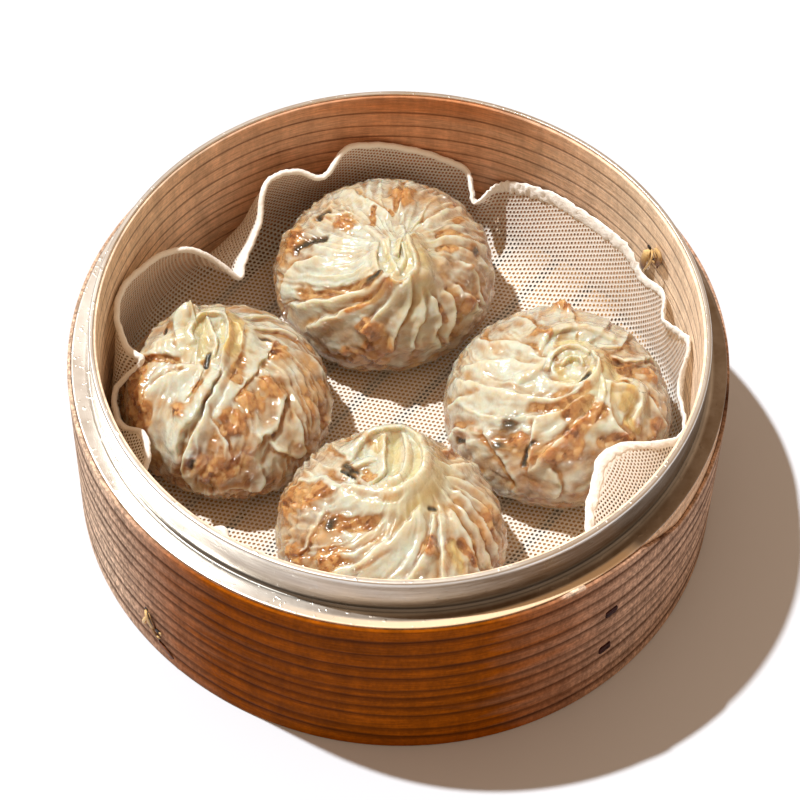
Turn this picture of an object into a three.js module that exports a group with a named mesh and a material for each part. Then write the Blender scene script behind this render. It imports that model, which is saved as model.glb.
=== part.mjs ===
// A round steamer basket of bent wood with a metal rim, lined with gauze, holding four shumai.
// Millimetres, +Z up. The origin is the centre of the circle that the outer hoop stands on.
// Azimuths are in degrees in plan, 0 along +X and 90 along +Y, which is away from the viewer.
import * as THREE from 'three';

// Driving dimensions of the basket
const OUTER_RADIUS = 90;          // outer hoop, outside
const HOOP_HEIGHT = 58.3;         // outer hoop, from the table up to its top edge
const TOTAL_HEIGHT = 70.9;        // up to the metal lip
const INNER_RADIUS = 81.3;        // inner hoop, inside
const NEST_DEPTH = 13.4;          // recess below, which takes the raised rim of a basket underneath
const GAP = 0.3;                  // play between pieces that touch
const SHEET_METAL = 0.45;
const BAND_RADIUS = 83.45;        // raised metal wall, outside
const FLANGE_RADIUS = 88.7;       // metal flange that lies on the outer hoop
const LIP_RADIUS = 82.0;          // inner edge of the metal lip
const WRAP_THICKNESS = 0.95;      // outermost veneer of the outer hoop
const RING_STEPS = 72;

// Floor of the basket
const SLAT_TOP = 19.4;
const SLAT_THICKNESS = 2.7;
const SLAT_WIDTH = 10.6;
const SLAT_PITCH = 13.4;
const SLAT_OFFSET = 3.9;          // middle of the slat nearest the centre, across the slats
const SLAT_AZIMUTH = 53;          // the slats run this way
const BAR_WIDTH = 9;
const BAR_SPREAD = 42;            // a cross bar's distance from the centre

// Gauze liner
const GAUZE = 0.6;
const GAUZE_TOP = SLAT_TOP + GAP + GAUZE;
const LINER_RADIUS = 80.2;        // where it stands against the inner hoop
const BEND = 7;                   // radius of its turn from floor to wall

// Shumai
const FOOD_BASE = GAUZE_TOP + GAP;
const PLEATS = 14;
const COLUMNS_PER_PLEAT = 4;

const rad = (degrees) => (degrees * Math.PI) / 180;
const mix = (a, b, t) => a + (b - a) * t;
const smooth = (t) => { const u = Math.min(1, Math.max(0, t)); return u * u * (3 - 2 * u); };
// A repeatable number from 0 to 1 for each whole k and seed
const chance = (k, seed) => {
  const s = Math.sin(k * 12.9898 + seed * 78.233) * 43758.5453;
  return s - Math.floor(s);
};

const cedar = () => new THREE.MeshStandardMaterial({ color: 0xa8683c, roughness: 0.62, metalness: 0 });
const paleWood = () => new THREE.MeshStandardMaterial({ color: 0xe6c293, roughness: 0.7, metalness: 0 });
const bamboo = () => new THREE.MeshStandardMaterial({ color: 0xd9c08a, roughness: 0.6, metalness: 0 });
const rimMetal = () => new THREE.MeshStandardMaterial({ color: 0xcfcfca, roughness: 0.28, metalness: 1 });
const gauzeCloth = () => new THREE.MeshStandardMaterial({ color: 0xf1e8d6, roughness: 0.95, metalness: 0 });
const cane = () => new THREE.MeshStandardMaterial({ color: 0xcfa45a, roughness: 0.5, metalness: 0 });
const darkLacing = () => new THREE.MeshStandardMaterial({ color: 0x3a1512, roughness: 0.6, metalness: 0 });
const wrapper = () => new THREE.MeshStandardMaterial({ color: 0xe3cfa6, roughness: 0.3, metalness: 0 });

const basket = new THREE.Group();
const add = (name, geometry, material) => {
  const mesh = new THREE.Mesh(geometry, material);
  mesh.name = name;
  basket.add(mesh);
  return mesh;
};

// Six times the volume inside a list of triangles, negative where they face inwards
const signedVolume = (positions, index) => {
  const [a, b, c] = [new THREE.Vector3(), new THREE.Vector3(), new THREE.Vector3()];
  let total = 0;
  for (let i = 0; i < index.length; i += 3) {
    a.fromArray(positions, 3 * index[i]);
    b.fromArray(positions, 3 * index[i + 1]);
    c.fromArray(positions, 3 * index[i + 2]);
    total += a.dot(b.cross(c));
  }
  return total;
};

// Body from rows of points. Each row closes on itself, and the rows either run from one
// pole to another, or close into a ring as well.
const bodyFromRows = (rows, poles) => {
  const columns = rows[0].length;
  const positions = rows.flat(2);
  const index = [];
  const at = (r, c) => (r % rows.length) * columns + (c % columns);
  const spans = poles ? rows.length - 1 : rows.length;
  for (let r = 0; r < spans; r++) {
    for (let c = 0; c < columns; c++) {
      index.push(at(r, c), at(r, c + 1), at(r + 1, c + 1), at(r, c), at(r + 1, c + 1), at(r + 1, c));
    }
  }
  if (poles) {
    const first = positions.length / 3;
    positions.push(...poles[0], ...poles[1]);
    for (let c = 0; c < columns; c++) {
      index.push(first, at(0, c + 1), at(0, c));
      index.push(first + 1, at(rows.length - 1, c), at(rows.length - 1, c + 1));
    }
  }
  if (signedVolume(positions, index) < 0) index.reverse();
  const geometry = new THREE.BufferGeometry();
  geometry.setAttribute('position', new THREE.Float32BufferAttribute(positions, 3));
  geometry.setIndex(index);
  return geometry;
};

// Ring turned from a closed profile of [radius, height] corners, anticlockwise
const turned = (profile) => {
  const points = [...profile, profile[0]].map(([r, z]) => new THREE.Vector2(r, z));
  const geometry = new THREE.LatheGeometry(points, RING_STEPS);
  geometry.rotateX(Math.PI / 2);
  return geometry;
};

// Inner hoop: one bent board. Its raised part is rebated to take the metal band.
const innerHoop = () => {
  const top = TOTAL_HEIGHT - SHEET_METAL - GAP;
  const rebate = BAND_RADIUS - SHEET_METAL - GAP;
  const body = BAND_RADIUS + GAP / 2;
  const step = HOOP_HEIGHT - GAP;
  return turned([
    [INNER_RADIUS, NEST_DEPTH], [body, NEST_DEPTH], [body, step], [rebate, step],
    [rebate, top], [INNER_RADIUS, top],
  ]);
};

// Metal band: a lip over the inner hoop, a raised wall, and a flange on the outer hoop
const rimBand = () => {
  const inside = BAND_RADIUS - SHEET_METAL;
  const flangeUnder = HOOP_HEIGHT + GAP / 2;
  const flangeTop = flangeUnder + SHEET_METAL;
  const lipUnder = TOTAL_HEIGHT - SHEET_METAL;
  const round = 0.35;
  return turned([
    [inside, flangeUnder], [FLANGE_RADIUS, flangeUnder], [FLANGE_RADIUS, flangeTop],
    [BAND_RADIUS + round, flangeTop], [BAND_RADIUS, flangeTop + round],
    [BAND_RADIUS, TOTAL_HEIGHT - round], [BAND_RADIUS - round, TOTAL_HEIGHT],
    [LIP_RADIUS, TOTAL_HEIGHT], [LIP_RADIUS, lipUnder], [inside, lipUnder],
  ]);
};

// Outer hoop: a thick bent board, and a veneer wound round it
const wrapInside = OUTER_RADIUS - WRAP_THICKNESS;
const outerHoop = () => {
  const inside = BAND_RADIUS + 1.5 * GAP;
  const outside = wrapInside - GAP / 2;
  return turned([[inside, 0], [outside, 0], [outside, HOOP_HEIGHT], [inside, HOOP_HEIGHT]]);
};

// The veneer's end lies at LAP_AZIMUTH. Past it the top edge is cut on a slant down to
// LAP_DROP below the rim, and rises again to full height by LAP_RETURN degrees on.
const LAP_AZIMUTH = -45;
const LAP_SLANT = 12;
const LAP_RETURN = 67;
const LAP_DROP = 7.8;
const outerWrap = () => {
  const column = (c) => LAP_AZIMUTH + (360 * c) / RING_STEPS;
  const topAt = (azimuth) => {
    const past = azimuth - LAP_AZIMUTH;
    const falling = Math.min(1, past / LAP_SLANT);
    const rising = smooth((past - LAP_SLANT) / (LAP_RETURN - LAP_SLANT));
    return HOOP_HEIGHT - LAP_DROP * falling * (1 - rising);
  };
  const corners = [
    [wrapInside, () => 0], [OUTER_RADIUS, () => 0], [OUTER_RADIUS, topAt], [wrapInside, topAt],
  ];
  const rows = corners.map(([radius, height]) => Array.from({ length: RING_STEPS }, (_, c) => {
    const a = rad(column(c));
    return [radius * Math.cos(a), radius * Math.sin(a), height(column(c))];
  }));
  return bodyFromRows(rows, null);
};

add('outer_hoop', outerHoop(), cedar());
add('outer_wrap', outerWrap(), cedar());
add('inner_hoop', innerHoop(), paleWood());
add('rim_band', rimBand(), rimMetal());

// Floor slats: flat strips whose square ends just clear the inner hoop
const floorRadius = INNER_RADIUS - GAP;
const halfChord = (distance) => Math.sqrt(floorRadius ** 2 - distance ** 2);
const strip = (name, from, to, half, azimuth, top, thickness) => {
  const geometry = new THREE.BoxGeometry(2 * half, to - from, thickness);
  geometry.translate(0, (from + to) / 2, top - thickness / 2);
  geometry.rotateZ(rad(azimuth));
  add(name, geometry, bamboo());
};
const outermost = floorRadius - 2;
let slatNumber = 0;
for (let k = -6; k <= 5; k++) {
  const middle = -(SLAT_OFFSET + k * SLAT_PITCH);
  const from = Math.max(middle - SLAT_WIDTH / 2, -outermost);
  const to = Math.min(middle + SLAT_WIDTH / 2, outermost);
  const half = halfChord(Math.max(Math.abs(from), Math.abs(to)));
  slatNumber += 1;
  strip(`slat_${String(slatNumber).padStart(2, '0')}`, from, to, half, SLAT_AZIMUTH, SLAT_TOP, SLAT_THICKNESS);
}
const barTop = SLAT_TOP - SLAT_THICKNESS - GAP;
const barThickness = barTop - NEST_DEPTH - GAP;
[-1, 1].forEach((side, i) => {
  const from = side * BAR_SPREAD - BAR_WIDTH / 2;
  const to = side * BAR_SPREAD + BAR_WIDTH / 2;
  strip(`cross_bar_${i + 1}`, from, to, halfChord(BAR_SPREAD + BAR_WIDTH / 2), SLAT_AZIMUTH + 90, barTop, barThickness);
});

// Lacing: two dark stitches outside that hold the veneer's end
const stitch = (name, azimuth, height) => {
  const [length, width, thickness] = [3.9, 3.0, 0.45];
  const geometry = new THREE.BoxGeometry(thickness, length, width);
  geometry.translate(OUTER_RADIUS + 0.15 + thickness / 2, 0, height);
  geometry.rotateZ(rad(azimuth));
  add(name, geometry, darkLacing());
};
stitch('stitch_upper', -49.8, 38.3);
stitch('stitch_lower', -50.2, 20.9);

// Cane ties: a twisted strand on a hoop's face, from its upper hole to its lower one
const twistedTie = (name, radius, outward, azimuth, low, high, turns, thickness) => {
  const steps = 14;
  const swing = 1.1;
  const points = Array.from({ length: steps + 1 }, (_, i) => {
    const t = i / steps;
    const stand = radius + outward * (thickness / 2 + GAP + 0.5 * Math.sin(Math.PI * t));
    const a = rad(azimuth) + (swing * Math.sin(2 * Math.PI * turns * t)) / radius;
    return new THREE.Vector3(stand * Math.cos(a), stand * Math.sin(a), mix(low, high, t));
  });
  const section = new THREE.Shape();
  const sides = 6;
  for (let i = 0; i < sides; i++) {
    const a = (2 * Math.PI * i) / sides;
    const corner = [0.5 * thickness * Math.cos(a), 0.5 * thickness * Math.sin(a)];
    if (i === 0) section.moveTo(...corner); else section.lineTo(...corner);
  }
  section.closePath();
  const path = new THREE.CatmullRomCurve3(points);
  add(name, new THREE.ExtrudeGeometry(section, { steps: 18, extrudePath: path, bevelEnabled: false }), cane());
};
twistedTie('cane_tie_outside', OUTER_RADIUS, 1, -135.2, 9.4, 20.3, 1.5, 1.3);
twistedTie('cane_tie_inside', INNER_RADIUS, -1, 31.6, 46.4, 53.5, 1, 1.3);

// Gauze liner: a round cloth, flat on the slats and turned up along the wall, where its
// spare width stands in waves and folds. Each entry is [azimuth, radius, height] on its hem.
const HEM_PATH = [
  [-8, 79.2, 41], [2, 77.4, 42], [7, 80, 53], [12, 79.3, 50], [18, 77, 46], [22.5, 79.6, 49],
  [31, 80, 43.5], [37.7, 80, 47.5], [47, 80, 46.7], [58, 80, 46.5], [65, 80, 44.5], [70, 79.4, 42],
  [73.5, 71, 40.5], [77, 79, 45], [83, 80, 47.7], [91, 80, 51], [99.8, 78.6, 54.2],
  [103.2, 76.9, 54.6], [107.3, 72.9, 51], [110, 71.9, 50.2], [115, 73.7, 53.6], [120.2, 73.8, 54.8],
  [124, 71.4, 53.4], [127.2, 67.2, 47.2], [131.5, 64.6, 42.4], [136.5, 61.8, 40], [139.8, 60.1, 38.6],
  [142.4, 64.2, 44], [145.2, 68.5, 49.2], [149, 72.4, 53], [156, 76.9, 54.6], [168, 79.7, 56],
  [177, 74.7, 52], [180, 69.8, 50.2], [182.8, 77, 43], [186.5, 77.7, 40], [192, 76, 42],
  [197, 71.5, 46], [203, 71.8, 46], [208, 77, 40], [216, 79, 38], [224, 73, 42], [229, 68, 46.5],
  [234, 72, 43], [241, 79, 39], [255, 80, 42], [270, 79, 39.5], [285, 80, 42], [300, 79.3, 41],
  [311, 78.5, 41], [319, 67.5, 44], [325, 63.5, 46.5], [333, 60.8, 50], [340, 64.3, 49.4],
  [345, 72, 46],
];
const hemColumns = HEM_PATH.length * 2;
// Point on the hem at a column: even columns are the listed points, odd ones lie between
const hemAt = (c) => {
  const n = HEM_PATH.length;
  const k = Math.floor(c / 2) % n;
  const [p, q] = [HEM_PATH[k], HEM_PATH[(k + 1) % n]];
  if (c % 2 === 0) return p;
  const turn = q[0] < p[0] ? 360 : 0;
  return [(p[0] + q[0] + turn) / 2, (p[1] + q[1]) / 2, (p[2] + q[2]) / 2];
};
// Middle surface of the gauze at a column: rows run out over the floor, round the bend and up
const floorRows = [0.35, 0.7, 1];
const wallRows = [0.12, 0.35, 0.6, 0.8, 1];
const LEAN_POWER = 3;           // how late on its way up a fold leaves the wall
// Between the back and right shumai the cloth lies on a slope, which starts SLOPE_REACH
// further in than the bend does elsewhere
const SLOPE_AZIMUTH = 50;
const SLOPE_WIDTH = 24;
const SLOPE_REACH = 14;
const SLOPE_POWER = 1.4;        // how soon on its way up the cloth comes back to the wall
const slopeAt = (azimuth) => SLOPE_REACH * Math.exp(-(((azimuth - SLOPE_AZIMUTH) / SLOPE_WIDTH) ** 2));
const gauzeSection = (c) => {
  const [azimuth, hemRadius, hemHeight] = hemAt(c);
  const middle = GAUZE_TOP - GAUZE / 2;
  const slope = slopeAt(azimuth);
  const flat = floorRows.map((f) => [f * (LINER_RADIUS - BEND - slope), middle]);
  const wall = wallRows.map((w) => {
    const round = Math.min(1, (w * (hemHeight - middle)) / BEND);
    const out = LINER_RADIUS - BEND + BEND * Math.sqrt(1 - (1 - round) ** 2);
    const inward = (LINER_RADIUS - hemRadius) * w ** LEAN_POWER + slope * (1 - w) ** SLOPE_POWER;
    return [out - inward, mix(middle, hemHeight, w)];
  });
  const a = rad(azimuth);
  return [...flat, ...wall].map(([r, z]) => new THREE.Vector3(r * Math.cos(a), r * Math.sin(a), z));
};
const gauzeLiner = () => {
  const sections = Array.from({ length: hemColumns }, (_, c) => gauzeSection(c));
  const rowCount = sections[0].length;
  const offset = (side) => Array.from({ length: rowCount }, (_, r) => sections.map((section, c) => {
    const before = sections[(c + hemColumns - 1) % hemColumns];
    const after = sections[(c + 1) % hemColumns];
    const along = new THREE.Vector3().subVectors(after[r], before[r]);
    const up = new THREE.Vector3().subVectors(section[Math.min(r + 1, rowCount - 1)], section[Math.max(r - 1, 0)]);
    const normal = up.cross(along).normalize();
    return section[r].clone().addScaledVector(normal, (side * GAUZE) / 2).toArray();
  }));
  const inside = offset(-1);
  const outside = offset(1).reverse();
  const middle = GAUZE_TOP - GAUZE / 2;
  return bodyFromRows([...inside, ...outside], [[0, 0, middle + GAUZE / 2], [0, 0, middle - GAUZE / 2]]);
};
add('gauze_liner', gauzeLiner(), gauzeCloth());

// Shumai: a dome of filling in a thin round wrapper, drawn into pleats that wind up to a
// neck, and open above it in a ruffled crown with a hollow middle.
// The profile gives [radius as a share of the dome's, height as a share of the neck's,
// depth of the pleats in mm], from the middle of the base to the neck.
const WIDEST = 0.36;
const DOME = [
  [0.6, 0, 0], [0.82, 0.05, 0.2], [0.95, 0.18, 0.5], [1, WIDEST, 0.8], [0.97, 0.55, 1.2], [0.875, 0.72, 1.8],
  [0.71, 0.855, 2.3], [0.5, 0.945, 2.4], [0.31, 0.99, 1.8],
];
const NECK_RADIUS = 5.4;
const CROWN_HEIGHT = 6.2;
const SHUMAI = [
  { name: 'shumai_back', at: [-5.1, 45.6], radius: [31.2, 31.6], neck: 35, crown: [4.3, -9.0], twist: 0.55, seed: 1 },
  { name: 'shumai_left', at: [-47.4, -1.4], radius: [29, 29.6], neck: 32.5, crown: [-7.4, 7.8], twist: -0.3, seed: 2 },
  { name: 'shumai_front', at: [-0.8, -44.8], radius: [31, 30.2], neck: 34.5, crown: [1.9, 8.4], twist: 0.6, seed: 3 },
  { name: 'shumai_right', at: [44.2, 1.4], radius: [32.4, 31], neck: 31, crown: [7.7, -1.8], twist: 0.5, seed: 4 },
];
// Pleat borders round the dome, uneven in width, and how strongly each pleat stands out
const pleatPlan = (seed) => {
  const widths = Array.from({ length: PLEATS }, (_, k) => 0.6 + 0.8 * chance(k, seed));
  const whole = widths.reduce((a, b) => a + b, 0);
  let start = 0;
  return widths.map((w, k) => {
    const pleat = { start: (2 * Math.PI * start) / whole, width: (2 * Math.PI * w) / whole, strength: 0.6 + 0.7 * chance(k, seed + 20) };
    start += w;
    return pleat;
  });
};
// Slow unevenness of the dome, where the filling bulges, as a share of its radius
const bulge = (azimuth, height, seed) => {
  const [a, b, c] = [0, 1, 2].map((k) => 2 * Math.PI * chance(k, seed + 40));
  return 0.018 * Math.sin(2 * azimuth + a) + 0.014 * Math.sin(3 * azimuth + b + 2 * height)
    + 0.01 * Math.sin(5 * azimuth + c - 3 * height);
};
const shumai = ({ at, radius, neck, crown, twist, seed }) => {
  const plan = pleatPlan(seed);
  const columns = PLEATS * COLUMNS_PER_PLEAT;
  const ring = (share, fixed, height, depth, turn, shift) => Array.from({ length: columns }, (_, c) => {
    const pleat = plan[Math.floor(c / COLUMNS_PER_PLEAT)];
    const phase = (c % COLUMNS_PER_PLEAT) / COLUMNS_PER_PLEAT;
    const azimuth = pleat.start + pleat.width * phase;
    const wave = Math.cos(2 * Math.PI * (phase - 0.5));
    const uneven = share > 0 ? 1 + bulge(azimuth, height / neck, seed) : 1;
    const along = depth * pleat.strength * wave;
    const rx = radius[0] * share * uneven + fixed + along;
    const ry = radius[1] * share * uneven + fixed + along;
    const a = azimuth + turn;
    return [
      at[0] + shift * crown[0] + rx * Math.cos(a),
      at[1] + shift * crown[1] + ry * Math.sin(a),
      FOOD_BASE + height,
    ];
  });
  const rows = DOME.map(([share, height, depth]) => ring(
    share, 0, height * neck, depth, twist * smooth((height - WIDEST) / (1 - WIDEST)), height > WIDEST ? 1 - share : 0,
  ));
  const crownRow = (r, z, depth, turn) => ring(0, r, neck + z, depth, twist + turn, 1);
  rows.push(
    crownRow(NECK_RADIUS, 0.8, 0.9, 0.1),
    crownRow(NECK_RADIUS + 0.6, 0.5 * CROWN_HEIGHT, 0.9, 0.2),
    crownRow(NECK_RADIUS + 2.2, CROWN_HEIGHT, 1.3, 0.3),
    crownRow(NECK_RADIUS + 0.6, CROWN_HEIGHT + 0.2, 1.1, 0.3),
    crownRow(2.6, 0.5 * CROWN_HEIGHT, 0.3, 0.3),
  );
  const tip = [at[0] + crown[0], at[1] + crown[1], FOOD_BASE + neck + 0.35 * CROWN_HEIGHT];
  return bodyFromRows(rows, [[at[0], at[1], FOOD_BASE], tip]);
};
for (const one of SHUMAI) add(one.name, shumai(one), wrapper());

export default basket;
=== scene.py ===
import math
import bpy
import numpy as np
from mathutils import Matrix, Vector


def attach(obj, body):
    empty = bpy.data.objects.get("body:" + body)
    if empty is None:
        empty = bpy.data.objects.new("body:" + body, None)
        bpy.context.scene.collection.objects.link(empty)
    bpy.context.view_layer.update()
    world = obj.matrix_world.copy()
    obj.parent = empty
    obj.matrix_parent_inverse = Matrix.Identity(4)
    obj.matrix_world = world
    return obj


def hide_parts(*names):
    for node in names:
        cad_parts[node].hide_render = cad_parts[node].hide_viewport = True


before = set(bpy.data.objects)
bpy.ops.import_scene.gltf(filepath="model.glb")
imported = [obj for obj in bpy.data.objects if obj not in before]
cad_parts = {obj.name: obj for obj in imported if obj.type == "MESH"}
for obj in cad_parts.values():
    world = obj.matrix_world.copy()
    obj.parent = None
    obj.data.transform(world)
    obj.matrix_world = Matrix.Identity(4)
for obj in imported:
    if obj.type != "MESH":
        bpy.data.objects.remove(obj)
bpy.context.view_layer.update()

# The viewpoint: a long lens about 84 cm away, looking down on the basket at 54 degrees, so
# that the far inner wall and the near outer wall both show.
eye = Vector((0.0, -0.480816, 0.691300))
view_right = Vector((0.99944608, 0.02638165, 0.02028670))
view_up = Vector((-0.03327111, 0.80596510, 0.59102731))
view_back = view_right.cross(view_up)
camera_data = bpy.data.cameras.new("camera")
camera_data.lens = 131.87
camera_data.sensor_width = 36
camera_data.clip_start = 0.05
camera = bpy.data.objects.new("camera", camera_data)
camera.matrix_world = Matrix((
    (view_right.x, view_up.x, view_back.x, eye.x),
    (view_right.y, view_up.y, view_back.y, eye.y),
    (view_right.z, view_up.z, view_back.z, eye.z),
    (0, 0, 0, 1),
))
bpy.context.scene.collection.objects.link(camera)
bpy.context.scene.camera = camera
bpy.context.scene.view_settings.view_transform = "Standard"


# The light: a high key light from the left and a little behind, which casts fairly crisp
# shadows to the right, and a weak warm fill from all round.
def key_light(azimuth, elevation, strength, softness, colour):
    """A distant light that comes from the given azimuth and elevation, in degrees."""
    lamp = bpy.data.lights.new("key_light", "SUN")
    lamp.energy = strength
    lamp.angle = math.radians(softness)
    lamp.color = colour
    a, e = math.radians(azimuth), math.radians(elevation)
    towards = Vector((math.cos(a) * math.cos(e), math.sin(a) * math.cos(e), math.sin(e)))
    obj = bpy.data.objects.new("key_light", lamp)
    obj.rotation_euler = towards.to_track_quat("Z", "Y").to_euler()
    bpy.context.scene.collection.objects.link(obj)


key_light(155, 63, 4.3, 1.6, (1.0, 0.995, 0.965))
world = bpy.data.worlds.new("fill")
world.use_nodes = True
world.node_tree.nodes["Background"].inputs["Color"].default_value = (1.0, 0.665, 0.425, 1)
world.node_tree.nodes["Background"].inputs["Strength"].default_value = 0.56
bpy.context.scene.world = world

# The table: a plain pale board that the basket stands on and throws its shadow on. It is no
# part of the basket, and lies a hair below its foot.
table_reach, table_level = 3.0, -0.0003


def finish_named(name, roughness, **constants):
    """A new material with its node tree and shader. constants are the shader's own sockets."""
    material = bpy.data.materials.new(name)
    material.use_nodes = True
    shader = material.node_tree.nodes["Principled BSDF"]
    shader.inputs["Roughness"].default_value = roughness
    for socket, value in constants.items():
        shader.inputs[socket.replace("_", " ")].default_value = value
    return material, material.node_tree, shader


corner_signs = ((-1, -1), (1, -1), (1, 1), (-1, 1))
table_corners = [(x * table_reach, y * table_reach, table_level) for x, y in corner_signs]
table_mesh = bpy.data.meshes.new("table")
table_mesh.from_pydata(table_corners, [], [(0, 1, 2, 3)])
table = bpy.data.objects.new("table", table_mesh)
bpy.context.scene.collection.objects.link(table)
table_finish, tree, shader = finish_named("table_finish", 0.75)
shader.inputs["Base Color"].default_value = (0.61, 0.66, 0.74, 1)
table_mesh.materials.append(table_finish)

# Outer hoop: a thick cedar board bent round and closed, the basket's foot and its strength.
# Its top edge is planed, and shows as a pale band outside the metal flange.
MM = 0.001
COLUMNS = 720    # points round every hoop
WAVE_ROOM = 0.18    # how far hand_bent draws a hoop in, to leave room for its waves, mm
azimuths = np.linspace(0, 2 * np.pi, COLUMNS, endpoint=False)
outer_radius, hoop_height = 90.0, 58.3
board_inside, board_outside = 83.9, 88.9
drawn_azimuth, drawn_width, drawn_depth = -128, math.degrees(0.6), 1.2


def smooth(t):
    """0 below 0, 1 above 1, and an S-shaped rise between: 3t² - 2t³."""
    u = np.clip(t, 0, 1)
    return u * u * (3 - 2 * u)


def turn_from(a, azimuth):
    """How far each angle a, in radians, is turned from an azimuth: in degrees, -180 to 180."""
    return np.degrees(np.angle(np.exp(1j * (a - np.radians(azimuth)))))


def on_circle(r, a, z):
    """Points from radius, azimuth and height: (r cos a, r sin a, z)."""
    return np.stack([r * np.cos(a), r * np.sin(a), z], -1)


def round_corner(middle, radius, start, steps=5):
    """A quarter arc in the section's plane, from start degrees on, as steps points."""
    a = np.radians(np.linspace(start, start + 90, steps))
    return np.stack([middle[0] + radius * np.cos(a), middle[1] + radius * np.sin(a)], -1)


def board_section(inside, outside, low, high, ease, outer_rows, inner_rows):
    """Closed section of a bent board: a rectangle with eased corners, anticlockwise from the
    bottom outer corner, with rows of points up its outer face and down its inner one."""
    up = np.linspace(low + ease, high - ease, outer_rows + 2)[1:-1]
    down = np.linspace(high - ease, low + ease, inner_rows + 2)[1:-1]
    return np.concatenate([
        round_corner((outside - ease, low + ease), ease, -90),
        np.stack([np.full_like(up, outside), up], -1),
        round_corner((outside - ease, high - ease), ease, 0),
        round_corner((inside + ease, high - ease), ease, 90),
        np.stack([np.full_like(down, inside), down], -1),
        round_corner((inside + ease, low + ease), ease, 180),
    ])


def sweep_round(section, angles):
    """Radius, azimuth and height of a section carried round the axis, rows by columns."""
    r, z = section[:, 0][:, None], section[:, 1][:, None]
    return r + 0 * angles, 0 * r + angles, z + 0 * angles


def grid_faces(rows, columns, ring_of_rows, ring_of_columns):
    """Quads between neighbouring points of a grid, turned back to its start where it is a ring."""
    r = np.arange(rows if ring_of_rows else rows - 1)[:, None]
    c = np.arange(columns if ring_of_columns else columns - 1)[None]
    r1, c1 = (r + 1) % rows, (c + 1) % columns
    corners = [r * columns + c, r * columns + c1, r1 * columns + c1, r1 * columns + c]
    return np.stack(corners, -1).reshape(-1, 4)


def hoop_faces(section):
    """The faces of a section carried all the way round the axis."""
    return grid_faces(len(section), COLUMNS, True, True)


def put(name, points, faces, finish, node=None, slot=None, **values):
    """Makes the piece's mesh from points in mm, with one value per point for each named
    attribute, smooth-shaded, rides it on the basket and hides the imported node it stands for."""
    mesh = bpy.data.meshes.new(name)
    mesh.from_pydata((np.reshape(points, (-1, 3)) * MM).tolist(), [], [list(f) for f in faces])
    for key, value in values.items():
        attribute = mesh.attributes.new(key, "FLOAT", "POINT")
        attribute.data.foreach_set("value", np.asarray(value, dtype=np.float32).ravel())
    mesh.shade_smooth()
    mesh.materials.append(finish)
    piece = bpy.data.objects.new(name, mesh)
    bpy.context.scene.collection.objects.link(piece)
    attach(piece, "root")
    if node:
        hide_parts(node)
    return piece


def hand_bent(r, a, z):
    """A bent hoop is never quite round: slow waves in its radius, and a foot drawn in at the left."""
    waves = 0.10 * np.sin(2 * a + 0.6) + 0.08 * np.sin(3 * a + 2.1)
    near = np.exp(-((turn_from(a, drawn_azimuth) / drawn_width) ** 2))
    return r + waves - drawn_depth * near * smooth(1 - z / 60) - WAVE_ROOM


def wire(tree, kind, inputs, **settings):
    """Adds a shader node. Each input is a number, a colour, or another node's output socket."""
    made = tree.nodes.new("ShaderNode" + kind)
    for key, value in settings.items():
        setattr(made, key, value)
    for key, value in inputs.items():
        if isinstance(value, bpy.types.NodeSocket):
            tree.links.new(value, made.inputs[key])
        else:
            made.inputs[key].default_value = value
    return made


def sums(tree, operation, a, b=0.0, c=0.0, clamp=False):
    """The result of one arithmetic node."""
    return wire(tree, "Math", {0: a, 1: b, 2: c}, operation=operation, use_clamp=clamp).outputs[0]


def blend_colour(tree, share, low, high, way="MIX"):
    """low where share is 0 and high where it is 1. Each is a colour or a socket."""
    made = wire(tree, "Mix", {"Factor": share, 6: low, 7: high}, data_type="RGBA", blend_type=way)
    return made.outputs[2]


def shade(tree, colour, brightness, share=1.0):
    """The colour times a brightness near 1, taken up by the given share."""
    grey = wire(tree, "CombineColor", {0: brightness, 1: brightness, 2: brightness}).outputs[0]
    return blend_colour(tree, share, colour, grey, "MULTIPLY")


def grade(tree, value, low, high, to_low=0.0, to_high=1.0):
    """value stretched so that low to high becomes to_low to to_high, and held there."""
    made = wire(tree, "MapRange", {0: value, 1: low, 2: high, 3: to_low, 4: to_high})
    return made.outputs[0]


def carried(tree, name):
    """The value that the mesh carries at each point under that name."""
    return wire(tree, "Attribute", {}, attribute_name=name).outputs["Fac"]


def speckle(tree, scale, stretch=(1, 1, 1), detail=3.0, roughness=0.55):
    """Noise in the object's own space, scale per metre, finer along an axis that is stretched."""
    place = wire(tree, "TexCoord", {}).outputs["Object"]
    stretched = wire(tree, "Mapping", {"Vector": place, "Scale": stretch}).outputs[0]
    settings = {"Vector": stretched, "Scale": scale, "Detail": detail, "Roughness": roughness}
    return wire(tree, "TexNoise", settings).outputs["Fac"]


def relief(tree, shader, height, strength, distance):
    """Bump from a height socket, in metres at full strength."""
    made = wire(tree, "Bump", {"Height": height, "Strength": strength, "Distance": distance})
    tree.links.new(made.outputs[0], shader.inputs["Normal"])


def grain_lines(tree, heights, top, width, soft):
    """Up to 1 on each dark late-wood line and 0 between, by the board's own grain height in
    mm. Each line darkens slowly from below over soft mm and ends sharply after width mm, and
    some lines are fainter and narrower than others."""
    rng = np.random.default_rng(len(heights))
    wander_reach = 1.3
    wander = speckle(tree, 14, (1, 1, 6), 2.0)
    place = sums(tree, "MULTIPLY_ADD", wander, wander_reach, carried(tree, "grain"))
    ramp = wire(tree, "ValToRGB", {"Fac": sums(tree, "DIVIDE", place, top)})
    stops = ramp.color_ramp.elements
    for end in (0, 1):
        stops[end].position, stops[end].color = end, (0, 0, 0, 1)
    for height in sorted(heights):
        strength = rng.uniform(0.62, 1.0)
        for shift, value in ((-soft, 0), (0, strength), (width * (0.5 + 0.6 * strength), 0)):
            stop = stops.new((height + wander_reach / 2 + shift) / top)
            stop.color = (value, value, value, 1)
    return ramp.outputs["Color"]


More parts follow.
